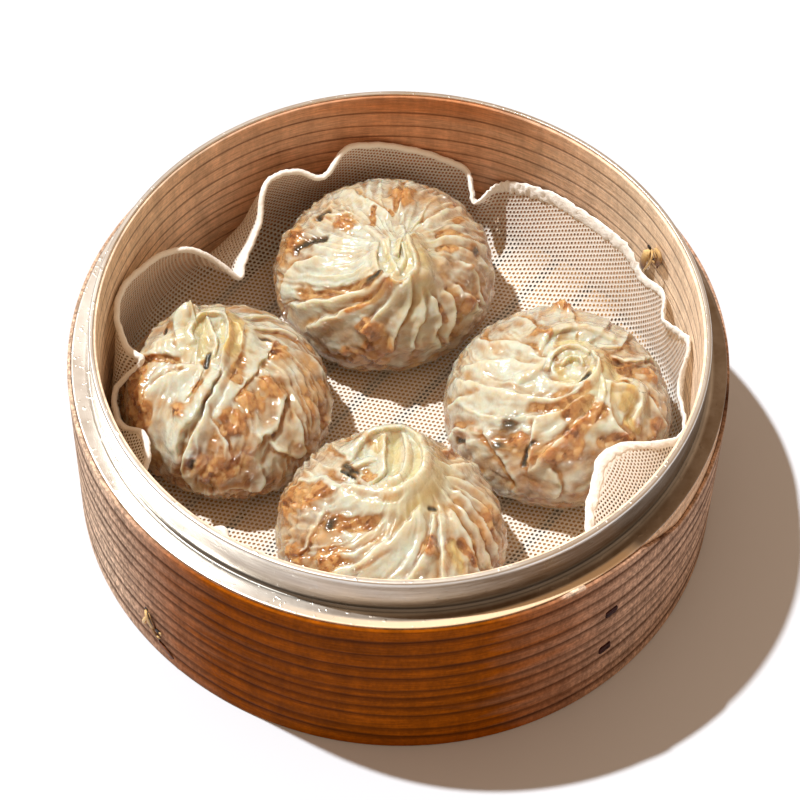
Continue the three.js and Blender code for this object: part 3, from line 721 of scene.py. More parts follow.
def gauze_place(w):
    """Middle surface of the cloth. w from -1 to 0 goes out over the floor, and 0 to 1 goes up
    the wall: round the bend on a quarter circle, then straight, leaning in by w to lean_power.
    Round slope_azimuth it lies on a slope that starts up to slope_reach mm further in."""
    w = w[:, None]
    up = np.clip(w, 0, 1)
    past_bend = np.minimum(1, up * (hem_height - gauze_middle) / bend)
    out = liner_radius - bend + bend * np.sqrt(1 - (1 - past_bend) ** 2)
    slope = slope_reach * np.exp(-(((np.degrees(hem_azimuth) - slope_azimuth) / slope_width) ** 2))
    wall = out - (liner_radius - hem_radius) * up ** lean_power - slope * (1 - up) ** 1.4
    r = np.where(w < 0, (1 + w) * (liner_radius - bend - slope), wall)
    a = hem_azimuth[None] + 0 * w
    soft = 0.10 * np.sin(r * 0.32 + 3 * np.sin(2 * a)) * np.sin(3 * a + 0.05 * r) * smooth(r / 30)
    crimp = (0.10 * np.sin(95 * a + 3 * np.sin(5 * a)) + 0.12 * np.sin(37 * a)) * up ** 4
    z = gauze_middle + (hem_height - gauze_middle) * up
    return on_circle(r - crimp, a, z + soft * (w < 0.05))


def fan(columns, start, tip):
    """Triangles from a ring of points, numbered from start, to one point."""
    return [[start + (c + 1) % columns, start + c, tip] for c in range(columns)]


floor_steps, wall_steps = 50, 46
on_floor = np.linspace(-0.97, 0, floor_steps, endpoint=False)
stations = np.concatenate([on_floor, np.linspace(0, 1, wall_steps) ** 1.15])
cloth = gauze_place(stations)
steps = np.linalg.norm(np.diff(cloth, axis=0), axis=-1)
run = np.concatenate([np.linalg.norm(cloth[:1, :, :2], axis=-1), steps]).cumsum(axis=0)
flat_x, flat_y = run * np.cos(hem_azimuth), run * np.sin(hem_azimuth)
cloth_columns = len(hem_azimuth)
cloth_points = np.concatenate([cloth.reshape(-1, 3), [[0, 0, gauze_middle]]])
cloth_faces = grid_faces(len(stations), cloth_columns, False, True).tolist()
cloth_faces += fan(cloth_columns, 0, len(cloth_points) - 1)
near_hem = 2.0 * smooth((stations - 0.92) / 0.03)[:, None] + 0 * run    # no holes next to the hem


def turned(tree, x, y, degrees):
    """Two sockets as one point of a plane, turned: (x cos - y sin, x sin + y cos)."""
    c, s = math.cos(math.radians(degrees)), math.sin(math.radians(degrees))
    across = sums(tree, "SUBTRACT", sums(tree, "MULTIPLY", x, c), sums(tree, "MULTIPLY", y, s))
    along = sums(tree, "ADD", sums(tree, "MULTIPLY", x, s), sums(tree, "MULTIPLY", y, c))
    return across, along


gauze_finish, tree, shader = finish_named("cotton_gauze", 0.9, Specular_IOR_Level=0.15)
along, down = turned(tree, carried(tree, "flat_x"), carried(tree, "flat_y"), weave_turn)
row = sums(tree, "DIVIDE", down, hole_down)
stagger = sums(tree, "MULTIPLY", sums(tree, "FLOORED_MODULO", sums(tree, "FLOOR", row), 2.0), 0.5)
column = sums(tree, "ADD", sums(tree, "DIVIDE", along, hole_across), stagger)
cell_x = sums(tree, "SUBTRACT", sums(tree, "FRACT", column), 0.5)
cell_y = sums(tree, "SUBTRACT", sums(tree, "FRACT", row), 0.5)
long_way, short_way = turned(tree, cell_x, cell_y, -hole_slant)
long_part = sums(tree, "POWER", sums(tree, "DIVIDE", long_way, 0.35), 2.0)
short_part = sums(tree, "POWER", sums(tree, "DIVIDE", short_way, 0.265), 2.0)
from_hole = sums(tree, "SQRT", sums(tree, "ADD", long_part, short_part))
threads = speckle(tree, 1600, (1, 1, 1), 2.0, 0.6)
ragged = sums(tree, "MULTIPLY", sums(tree, "SUBTRACT", threads, 0.5), 0.5)
edge = sums(tree, "ADD", sums(tree, "ADD", from_hole, ragged), carried(tree, "closed"))
cover = grade(tree, edge, 0.85, 1.15)
cotton = blend_colour(tree, threads, (0.96, 0.93, 0.86, 1), (1.0, 0.99, 0.96, 1))
tree.links.new(cotton, shader.inputs["Base Color"])
relief(tree, shader, sums(tree, "MINIMUM", edge, 2.2), 0.6, 0.00015)
glow = wire(tree, "BsdfTranslucent", {"Color": (0.85, 0.72, 0.55, 1)})
cloth_mix = wire(tree, "MixShader", {"Fac": 0.26, 1: shader.outputs[0], 2: glow.outputs[0]})
# What shows through the holes is tinted warm and darker: a painted shade of the space under the cloth.
shaded_hole_tint = wire(tree, "BsdfTransparent", {"Color": (0.90, 0.76, 0.60, 1)})
open_mix = wire(tree, "MixShader", {"Fac": cover, 1: shaded_hole_tint.outputs[0], 2: cloth_mix.outputs[0]})
tree.links.new(open_mix.outputs[0], tree.nodes["Material Output"].inputs["Surface"])
liner = put("gauze_cloth", cloth_points, cloth_faces, gauze_finish, node="gauze_liner", slot="gauze",
            flat_x=np.append(flat_x, 0), flat_y=np.append(flat_y, 0), closed=np.append(near_hem, 0))

# Hem: the cloth's edge turned over twice and sewn, a soft white cord of cotton about 3 mm
# wide that follows the edge through every fold.
hem_sides = 16
hem_widths = (
    (-180, 2.1), (-75, 2.1), (-45, 3.8), (-12, 3.4), (28, 3.4), (38, 4.6), (68, 4.6), (80, 2.2),
)
hem_thicknesses = ((-180, 1.7), (-75, 1.7), (-45, 1.2), (38, 1.1), (68, 1.1), (80, 1.7))


def hem_roll():
    """A flattened round section carried along the edge. Its wide way follows the cloth down
    from the edge, its thin way is across it, and a sum of slanting sine waves crinkles both."""
    edge = cloth[-1]
    width, thickness = ring_value(hem_widths, hem_azimuth), ring_value(hem_thicknesses, hem_azimuth)
    down = unit(gauze_place(np.array([0.9]))[0] - edge)
    ahead = unit(np.roll(edge, -1, axis=0) - np.roll(edge, 1, axis=0))
    across = unit(np.cross(ahead, down))
    reach = np.linalg.norm(np.roll(edge, -1, axis=0) - edge, axis=-1).cumsum()
    t = 2 * np.pi * np.arange(hem_sides)[:, None] / hem_sides
    rng = np.random.default_rng(12)
    crinkle, ragged = 0 * t, 0 * t
    for _ in range(22):
        pitch, slant, start = rng.uniform(0.9, 4.2), rng.uniform(-2.2, 2.2), rng.uniform(0, 6.3)
        crinkle = crinkle + 0.055 * np.sin(pitch * reach + slant * np.cos(t) * width / 2 + start)
        ragged = ragged + 0.016 * np.sin(0.6 * pitch * reach + start)
    share = np.clip((width - 1.4) / 3.2, 0.25, 1)
    crinkle, ragged = crinkle * share, ragged * share
    wide = 0.5 * width * ((np.cos(t) + 0.86) * (1 + 0.3 * ragged) + 0.5 * ragged)
    thin = 0.5 * thickness * np.sin(t)
    return edge + wide[..., None] * down + (thin + crinkle)[..., None] * across


hem_finish, tree, shader = finish_named("sewn_hem", 0.85, Specular_IOR_Level=0.2, Sheen_Weight=0.3)
fuzz = speckle(tree, 1500, (1, 1, 1), 3.0, 0.7)
pucker = speckle(tree, 420, (1, 1, 0.5), 2.0)
hem_colour = blend_colour(tree, fuzz, (0.93, 0.91, 0.86, 1), (0.99, 0.985, 0.96, 1))
tree.links.new(hem_colour, shader.inputs["Base Color"])
relief(tree, shader, sums(tree, "ADD", fuzz, pucker), 0.7, 0.0004)
hem_faces = grid_faces(hem_sides, cloth_columns, True, True)
hem_piece = put("gauze_hem", hem_roll(), hem_faces, hem_finish, slot="gauze")

# Shumai: chopped brown filling in a thin round wrapper, drawn into pleats that wind up to
# an off-centre crown, and steamed until it shines. The wrapper is opaque and creamy where it
# lies in layers, and lets the filling show where it is stretched.
SHUMAI_COLUMNS = 520    # points round each dumpling
food_base, widest = 20.6, 0.36
dome_profile = np.array([  # radius and height as shares of the dome's, from the base's rim up
    [0.6, 0], [0.82, 0.05], [0.95, 0.18], [1, widest], [0.97, 0.55], [0.875, 0.72],
    [0.71, 0.855], [0.5, 0.945], [0.31, 0.99], [0.15, 1.0],
])
profile_run = 62.0    # length of the whole profile, mm
dome_rows = np.concatenate([np.linspace(0, 0.74, 92, endpoint=False), np.linspace(0.74, 1, 66)])
cap_rows = np.linspace(1, 0.02, 20)[1:]    # from the profile's end in to the crown's middle


def cloud(points, cell, seed):
    """Smooth noise from -1 to 1: random values on a lattice cell mm wide, blended by S-curves."""
    lattice = np.random.default_rng(seed).random((24, 24, 24)) * 2 - 1
    s = points / cell + 100.0
    k = np.floor(s).astype(int)
    f = s - k
    f = f * f * (3 - 2 * f)
    total = 0
    for corner in np.ndindex(2, 2, 2):
        weight = np.prod(np.abs(1 - np.array(corner) - f), axis=-1)
        total = total + weight * lattice[tuple(np.moveaxis((k + corner) % 24, -1, 0))]
    return total


def chunks(points, cell, seed):
    """Chopped pieces: a random point in every lattice cell, a round hump of height 1 on the
    nearest one, 1 - (distance / 0.8 cell)², and a random number from 0 to 1 that belongs to it."""
    rng = np.random.default_rng(seed)
    shift, tone = rng.random((20, 20, 20, 3)), rng.random((20, 20, 20))
    s = points / cell + 60.0
    k = np.floor(s).astype(int)
    nearest, its_tone = np.full(points.shape[:-1], 9.0), np.zeros(points.shape[:-1])
    for step in np.ndindex(3, 3, 3):
        j = k + np.array(step) - 1
        at = tuple(np.moveaxis(j % 20, -1, 0))
        away = np.linalg.norm(j + shift[at] - s, axis=-1)
        its_tone = np.where(away < nearest, tone[at], its_tone)
        nearest = np.minimum(nearest, away)
    return np.maximum(0, 1 - (nearest / 0.8) ** 2), its_tone


def crown_middle(one):
    """The place under the middle of the crown, at the top of the plain dome."""
    return np.array([one["at"][0] + one["crown"][0], one["at"][1] + one["crown"][1], food_base + one["neck"]])


def plain_dome(one, a, t):
    """The dome without folds: the profile turned round a centre that slides towards the crown,
    and its last rows drawn in to the crown's middle."""
    share, height = np.moveaxis(along_path(dome_profile, t), -1, 0)
    slide = np.where(height > widest, 1 - share, 0)
    swell = 1 + 0.018 * np.sin(2 * a + one["seed"]) + 0.014 * np.sin(3 * a + 2 * one["seed"] + 2 * height)
    x = one["at"][0] + slide * one["crown"][0] + one["radius"][0] * share * swell * np.cos(a)
    y = one["at"][1] + slide * one["crown"][1] + one["radius"][1] * share * swell * np.sin(a)
    points = np.stack([x, y, food_base + height * one["neck"]], -1)
    cap, middle = len(dome_rows), crown_middle(one)
    points[cap:] = middle + (points[cap - 1] - middle) * cap_rows[:, None, None]
    return points


def outward(points):
    """Unit normals of a grid of points, from its neighbours along and across."""
    ahead = np.roll(points, -1, axis=1) - np.roll(points, 1, axis=1)
    normal = np.cross(ahead, np.gradient(points, axis=0))
    return normal / np.maximum(np.linalg.norm(normal, axis=-1, keepdims=True), 1e-9)


def nearest_on_path(stretches, shape):
    """For each point: how far it is to the side of a path, how far from it in all, the place
    along it from 0 to 1, and the path's own sideways direction there. A stretch is the way to
    the point from the stretch's start (x, y), and the way to its end (to_x, to_y)."""
    best, side, place = np.full(shape, 99.0), np.zeros(shape), np.zeros(shape)
    sideways_x, sideways_y = np.zeros(shape), np.zeros(shape)
    for k, (x, y, to_x, to_y) in enumerate(stretches):
        length = np.sqrt(to_x ** 2 + to_y ** 2) + 1e-6
        f = np.clip((x * to_x + y * to_y) / length ** 2, 0, 1)
        away = np.hypot(x - f * to_x, y - f * to_y)
        closer = away < best
        best = np.where(closer, away, best)
        side = np.where(closer, (to_x * y - to_y * x) / length, side)
        place = np.where(closer, (k + f) / len(stretches), place)
        sideways_x = np.where(closer, -to_y / length, sideways_x)
        sideways_y = np.where(closer, to_x / length, sideways_y)
    return side, best, place, sideways_x, sideways_y


def on_dome(one, a, t, path):
    """nearest_on_path for a path of (azimuth, profile place) corners, in mm along the dome."""
    corners = along_path(np.array(path, dtype=float), np.linspace(0, 1, 2 * len(path) + 1))
    scale = one["radius"][0] * np.maximum(along_path(dome_profile, t[:, :1])[..., 0], 0.2)
    stretches = []
    for (a0, t0), (a1, t1) in zip(corners, corners[1:]):
        x = (np.mod(a - math.radians(a0) + np.pi, 2 * np.pi) - np.pi) * scale
        stretches.append((x, (t - t0) * profile_run, math.radians(a1 - a0) * scale, (t1 - t0) * profile_run))
    return nearest_on_path(stretches, a.shape)


def on_crown(one, points, path):
    """nearest_on_path in plan for a crown fold's path of (x, y, height) corners, in mm from the
    crown's middle, with the fold's height there in the place of the place along it."""
    corners = along_path(np.array(path, dtype=float), np.linspace(0, 1, 3 * len(path)))
    x, y = np.moveaxis(points[..., :2] - crown_middle(one)[:2], -1, 0)
    stretches = [(x - x0, y - y0, x1 - x0, y1 - y0) for (x0, y0, _), (x1, y1, _) in zip(corners, corners[1:])]
    side, away, place, sideways_x, sideways_y = nearest_on_path(stretches, x.shape)
    height = np.interp(place * len(stretches), np.arange(len(corners)), corners[:, 2])
    return side, away, height, sideways_x, sideways_y


def wound(one, a, t):
    """Each point's pleat azimuth: where the pleat that passes through it meets the neck. The
    pleats run down from there and drift sideways by the listed degrees at mid-height."""
    starts = np.radians(np.arange(-180, 540, 2.0))
    drift = np.radians(ring_value(one["drift"], starts))
    out = np.empty_like(a)
    for row in range(len(a)):
        ends = starts + drift * smooth((0.86 - t[row, 0]) / 0.46)
        order = np.argsort(ends)
        out[row] = np.interp(np.mod(a[row], 2 * np.pi), ends[order], starts[order])
    return out


def small_pleats(one, phi, t, rough):
    """Low uneven pleats all round: each a ridge with a gentle flank and a steep one."""
    rise = 0 * phi
    rng = np.random.default_rng(one["seed"])
    count = one["pleats"]
    places = np.cumsum(0.45 + rng.random(count))
    for place in places / places[-1] * 360:
        width = 360 / count * rng.uniform(0.5, 1.1)
        height, low = rng.uniform(0.15, 0.75), rng.uniform(0.1, 0.5)
        away = turn_from(phi, place + 3 * rough) * one["way"]
        flank = away / np.where(away < 0, 0.62 * width, 0.22 * width)
        uneven = smooth((t - low) / 0.2) * (0.8 + 0.35 * np.sin(9 * t + place))
        rise = np.maximum(rise, height * np.exp(-flank ** 2) * uneven)
    return rise


def long_folds(one, a, t, pleats):
    """The listed folds over the small pleats. Returns the ridges' height, how near a point is to
    a fold's thin edge and to the hollow beside it, and how far the fold leans over, in mm
    sideways and upwards. A fold's section is a Gaussian, a third as wide on its steep side."""
    ridge, edge, valley = pleats, 0.5 * pleats, 0 * a
    lean_x, lean_y = 0 * a, 0 * a
    for path, width, height, steep in one["folds"]:
        width, height = 0.82 * width, 0.95 * height
        side, away, place, sideways_x, sideways_y = on_dome(one, a, t, path)
        s = side * steep / width
        off_end = np.maximum(away ** 2 - side ** 2, 0) / width ** 2
        taper = smooth(place / 0.16) * smooth((1 - place) / 0.22)
        body = np.exp(-(s / np.where(s < 0, 1, 0.34)) ** 2 - off_end) * taper
        ridge = np.maximum(ridge, height * body)
        edge = np.maximum(edge, np.exp(-((s + 0.15) / 0.42) ** 2 - off_end) * taper)
        valley = np.maximum(valley, np.exp(-((s - 0.75) / 0.4) ** 2 - off_end) * taper)
        lean_x = lean_x + 0.42 * height * steep * sideways_x * body
        lean_y = lean_y + 0.42 * height * steep * sideways_y * body
    return ridge, edge, valley, lean_x, lean_y


def slots_and_lumps(one, a, t, wander_a, wander_t, torn):
    """The torn slots, as hollows, and the lumps of filling, as humps. Returns their height
    together, and how far each point shows brown filling, near black or yellow. The near black is
    partly dark pieces of filling and partly painted shade in the deepest slots, and the yellow of
    the gold slots is partly the dough's own and partly painted shade in their hollows."""
    lift, dent, brown, dark, yellow = 0 * a, 0 * a, 0 * a, 0 * a, 0 * a
    for path, width, depth, tint in one["slots"]:
        cut = np.exp(-((on_dome(one, wander_a, wander_t, path)[1] * torn / width) ** 3))
        dent = np.maximum(dent, depth * cut)
        brown = np.maximum(brown, cut * (tint in ("brown", "gold")))
        dark = np.maximum(dark, cut * (tint == "dark"))
        if tint == "gold":
            yellow = np.maximum(yellow, np.exp(-((on_dome(one, a, t, path)[1] / width) ** 4)))
    for azimuth, level, size, tall, tint in one["lumps"]:
        share = along_path(dome_profile, np.array([level]))[0, 0]
        across = np.radians(turn_from(wander_a, azimuth)) * one["radius"][0] * share
        hump = np.exp(-(np.hypot(across, (wander_t - level) * profile_run) * torn / size) ** 3)
        lift = lift + tall * hump
        brown = np.maximum(brown, hump * (tint == "brown"))
        dark = np.maximum(dark, hump * (tint == "dark"))
    return lift - dent, brown, dark, yellow


def strands(phi, run, count, seed):
    """Threads that follow the pleats: random values on a lattice with count cells round and
    one for each mm of run, blended by S-curves and folded to sharp crests, 0 to 1."""
    lattice = np.random.default_rng(seed).random((count, 64))
    x, y = np.mod(phi / (2 * np.pi), 1) * count, np.mod(run, 64)
    i, j = np.floor(x).astype(int), np.floor(y).astype(int)
    f, g = x - i, y - j
    f, g = f * f * (3 - 2 * f), g * g * (3 - 2 * g)
    low = lattice[i % count, j % 64] * (1 - f) + lattice[(i + 1) % count, j % 64] * f
    high = lattice[i % count, (j + 1) % 64] * (1 - f) + lattice[(i + 1) % count, (j + 1) % 64] * f
    return 1 - np.abs(2 * (low * (1 - g) + high * g) - 1)


def wrapper_threads(one, phi, t, rough, from_crown):
    """The strands at every distance from the crown: few near it and more of them lower down,
    each count of them strongest at its own distance in mm, and blended with the next."""
    phi = phi + one["way"] * 0.9 * np.exp(-from_crown / 7)
    total, weight = 0 * phi, 0 * phi
    for count, distance in ((11, 3.0), (23, 7.0), (43, 14.0), (71, 27.0)):
        near = np.exp(-(np.log((from_crown + 0.5) / distance) / 0.55) ** 2)
        run = t * profile_run / 5 + 0.8 * rough
        total = total + near * strands(phi + 0.04 * rough, run, count, one["seed"] + count)
        weight = weight + near
    return total / weight


def crown_folds(one, points, t):
    """How the crown's folds raise the dome's top. Returns the move in mm, how near a point is to
    a fold's edge and to the slope outside it, and how far its tints show, by name. The gold tints
    are painted shade in the crown's hollows, and the dark ones are near black in its deepest
    creases, partly dark filling and partly painted shade."""
    rise, edge, slope = 0 * t, 0 * t, 0 * t
    curl_x, curl_y, bodies = 0 * t, 0 * t, 0 * t
    upper = smooth((t - 0.66) / 0.08)
    top = crown_middle(one)[2]
    uneven = 0.35 * cloud(points, 1.6, one["seed"] + 41) + 0.5 * cloud(points, 3.4, one["seed"] + 42)
    for path, width, steep in one["crests"]:
        side, away, height, sideways_x, sideways_y = on_crown(one, points, path)
        s = side * steep / width
        off_end = np.sqrt(np.maximum(away ** 2 - side ** 2, 0)) / (0.9 * width)
        across = np.abs(s) / np.where(s < 0, 1.5, 0.62)
        body = np.exp(-across ** 2.4 - off_end ** 3)
        lift_to = np.maximum(0, top + height + uneven - points[..., 2]) * upper
        between = np.maximum(0, lift_to - 1.2 - 0.12 * height) * np.exp(-(away / 4.2) ** 3)
        rise = np.maximum(rise, np.maximum(lift_to * body, between))
        edge = np.maximum(edge, np.exp(-(s / 0.55) ** 2 - off_end ** 2))
        outside = np.exp(-((s + 1.7) / 0.9) ** 2 - off_end ** 2)
        slope = np.maximum(slope, outside * np.minimum(height / 4, 1))
        curl_x = curl_x + 0.14 * steep * sideways_x * lift_to * body
        curl_y = curl_y + 0.14 * steep * sideways_y * lift_to * body
        bodies = bodies + body
    tints = {"gold": 0 * t, "dark": 0 * t, "brown": 0 * t}
    depths = {"gold": 0.5, "dark": 1.2, "brown": 0.8}
    for path, width, tint in one["crown_tints"]:
        away = on_crown(one, points, [(x, y, 0) for x, y in path])[1]
        share = np.exp(-(away / width) ** 4) * upper
        tints[tint] = np.maximum(tints[tint], share)
        rise = rise - share * depths[tint] * (1 - 0.7 * edge)
    bodies = np.maximum(bodies, 1)
    return np.stack([curl_x / bodies, curl_y / bodies, rise], -1), edge, slope, tints


def soft_spots(a, t, spots):
    """Sum of soft round spots on the dome: each one's amount times e to the minus the squares
    of the turn and the rise from its middle, as shares of its half turn and half rise."""
    total = 0 * a
    for azimuth, place, half_turn, half_rise, amount in spots:
        turn, rise = turn_from(a, azimuth) / half_turn, (np.minimum(t, 0.95) - place) / half_rise
        total = total + amount * np.exp(-turn ** 2 - rise ** 2)
    return total


def shumai_piece(one):
    """The whole dumpling as one closed grid: the dome moved out along its normal by folds,
    lumps and creases, and its top raised into the crown's folds."""
    seed = one["seed"]
    round_it = np.linspace(0, 2 * np.pi, SHUMAI_COLUMNS, endpoint=False)
    a, t = np.meshgrid(round_it, np.concatenate([dome_rows, np.ones(len(cap_rows))]))
    plain = plain_dome(one, a, t)
    normal = outward(plain)
    rough = cloud(plain, 7.0, seed + 5)
    wander_a = a + 0.035 * cloud(plain, 4.5, seed + 31) + 0.018 * cloud(plain, 1.7, seed + 33)
    wander_t = t + 0.012 * cloud(plain, 4.0, seed + 32) + 0.006 * cloud(plain, 1.7, seed + 34)
    phi = wound(one, wander_a, t)
    foot, crown, first_place, last_place = one["cover"]
    opaque = foot + (crown - foot) * smooth((t - first_place) / (last_place - first_place))
    opaque = np.clip(opaque + soft_spots(a, t, one["layers"]) + 0.10 * rough, 0, 1)

    pleats = small_pleats(one, phi, t, rough)
    ridge, edge, valley, lean_x, lean_y = long_folds(one, wander_a, wander_t, pleats)
    torn = 1 + 0.30 * cloud(plain, 1.4, seed + 51)
    lumpy, brown, dark, yellow = slots_and_lumps(one, a, t, wander_a, wander_t, torn)
    big, big_tone = chunks(plain, 3.6, seed + 9)
    small, small_tone = chunks(plain, 1.9, seed + 11)
    bare = np.clip(1.15 - 1.3 * opaque + 0.6 * brown, 0.06, 1)
    middle = crown_middle(one)
    from_crown = np.hypot(plain[..., 0] - middle[0], plain[..., 1] - middle[1])
    threads = wrapper_threads(one, phi, t, rough, from_crown) - 0.5
    lift = (
        ridge + lumpy - 0.25 * valley + (1.0 * big + 0.32 * small) * bare + 0.4 * rough
        + one["threads"] * threads * (1 - 0.35 * opaque) - 0.9
    )
    fade = smooth(t / 0.10) * (0.3 + 0.7 * smooth((0.99 - t) / 0.14))
    around_way = np.cross(np.array([0, 0, 1.0]), normal)
    around_way /= np.maximum(np.linalg.norm(around_way, axis=-1, keepdims=True), 1e-9)
    up_way = np.cross(normal, around_way)
    ways = ((normal, lift), (around_way, lean_x), (up_way, lean_y))
    points = plain + sum(way * (amount * fade)[..., None] for way, amount in ways)
    move, crest_edge, slope, tints = crown_folds(one, points, t)
    points = points + move
    points[..., 2] = np.maximum(points[..., 2], food_base + 0.02 + 0.25 * t)

    patch, fine = cloud(points, 4.0, seed + 21), cloud(points, 1.5, seed + 23)
    # The hollow beside each fold is painted browner: a painted shade in the crease.
    wrap = (
        0.92 * opaque + 0.45 * np.maximum(edge, crest_edge) + 0.26 * patch + 0.10 * fine - 0.5 * valley
        + 0.6 * threads - 1.2 * np.maximum(brown, tints["brown"]) - dark
    )
    from_middle = np.arctan2(points[..., 1] - middle[1], points[..., 0] - middle[0])
    off_edges = 1 - 0.7 * np.clip(edge + crest_edge, 0, 1)
    # How yellow the dough is painted: partly its own creamy yellow, and partly painted shade, in the creases,
    # the crown's hollows, the crown's outer slope on the side turned from the light, and each dumpling's
    # shaded upper side; less of it on the folds' edges.
    gold = (
        np.clip(soft_spots(a, t, one["yellow_and_shade_spots"]), 0, 1) * (0.65 + 0.5 * valley) * off_edges + yellow
        + 0.8 * tints["gold"] * (1 - 0.6 * crest_edge) + 0.55 * slope * ring_value(one["shaded"], from_middle)
    )
    at_ends = {"wrap": (0.3, 1), "gold": (0, 0.2), "dark": (0, 0), "chunk": (0.5, 0.5)}  # bottom, top
    values = {
        "wrap": np.clip(wrap, 0, 1), "gold": np.clip(gold, 0, 1), "dark": np.maximum(dark, tints["dark"]),
        "chunk": np.where(big > small, big_tone, small_tone),
    }
    values = {key: np.append(value, at_ends[key]) for key, value in values.items()}
    bottom = t.size
    bottom_faces = fan(SHUMAI_COLUMNS, 0, bottom)
    crown_faces = fan(SHUMAI_COLUMNS, bottom - SHUMAI_COLUMNS, bottom + 1)
    faces = grid_faces(len(t), SHUMAI_COLUMNS, False, True).tolist() + bottom_faces
    faces += [f[::-1] for f in crown_faces]
    ends = [[one["at"][0], one["at"][1], food_base], points[-1].mean(axis=0)]
    points = np.concatenate([points.reshape(-1, 3), ends])
    return put(one["name"] + "_dumpling", points, faces, shumai_finish,
               node=one["name"], slot="wrapper", **values)


shumai_finish, tree, shader = finish_named(
    "steamed_wrapper", 0.30, Specular_IOR_Level=0.5, Coat_Weight=1.0, Coat_Roughness=0.09, Coat_IOR=1.85,
    Subsurface_Weight=0.85, Subsurface_Scale=0.005, Subsurface_Radius=(1.0, 0.62, 0.34),
)
chop = speckle(tree, 330, (1, 1, 1), 3.0, 0.55)
crumb = speckle(tree, 900, (1, 1, 1), 2.0, 0.5)
veil = speckle(tree, 210, (1, 1, 1), 3.0, 0.55)
wet = speckle(tree, 620, (1, 1, 1), 3.0, 0.55)
haze = speckle(tree, 150, (1, 1, 1), 2.0, 0.5)
chopped = sums(tree, "MULTIPLY", carried(tree, "chunk"), 0.40)
mixed = sums(tree, "ADD", chopped, sums(tree, "MULTIPLY", chop, 0.60))
filling = wire(tree, "ValToRGB", {"Fac": grade(tree, mixed, 0.2, 0.8, 0.29, 0.76)})
browns = filling.color_ramp.elements
browns[0].position, browns[0].color = 0.24, (0.06, 0.018, 0.005, 1)
browns[1].position, browns[1].color = 0.80, (0.62, 0.43, 0.22, 1)
browns.new(0.36).color = (0.18, 0.062, 0.017, 1)
browns.new(0.47).color = (0.36, 0.155, 0.048, 1)
browns.new(0.60).color = (0.52, 0.30, 0.115, 1)
patchy = sums(tree, "MULTIPLY", sums(tree, "SUBTRACT", veil, 0.5), 0.5)
soft_edge = sums(tree, "ADD", carried(tree, "wrap"), patchy)
under = blend_colour(tree, grade(tree, haze, 0.35, 0.68), (0.29, 0.135, 0.045, 1), (0.52, 0.31, 0.125, 1))
veiled = blend_colour(tree, grade(tree, soft_edge, -0.02, 0.34, 0, 0.8), filling.outputs["Color"], under)
clouding = grade(tree, sums(tree, "ADD", haze, chop), 0.9, 1.25)
dough = blend_colour(tree, clouding, (0.605, 0.665, 0.58, 1), (0.60, 0.56, 0.42, 1))
thick = blend_colour(tree, grade(tree, soft_edge, 0.26, 1.05), veiled, dough)
# Yellow where gold is carried, partly the dough's own and partly painted shade; near black where dark is
# carried, partly dark filling and partly painted shade in deep slots and creases.
golden = blend_colour(tree, sums(tree, "MULTIPLY", carried(tree, "gold"), 0.65), thick, (0.64, 0.54, 0.24, 1))
dark_bits_and_shade = blend_colour(tree, carried(tree, "dark"), golden, (0.045, 0.042, 0.028, 1))
tree.links.new(dark_bits_and_shade, shader.inputs["Base Color"])
tree.links.new(grade(tree, crumb, 0.3, 0.7, 0.12, 0.28), shader.inputs["Roughness"])
skin = sums(tree, "ADD", sums(tree, "MULTIPLY", crumb, 0.35), sums(tree, "MULTIPLY", chop, 0.6))
relief(tree, shader, skin, 0.35, 0.0007)
wet_film = wire(tree, "Bump", {"Height": wet, "Strength": 1.0, "Distance": 0.0075})
tree.links.new(wet_film.outputs["Normal"], shader.inputs["Coat Normal"])

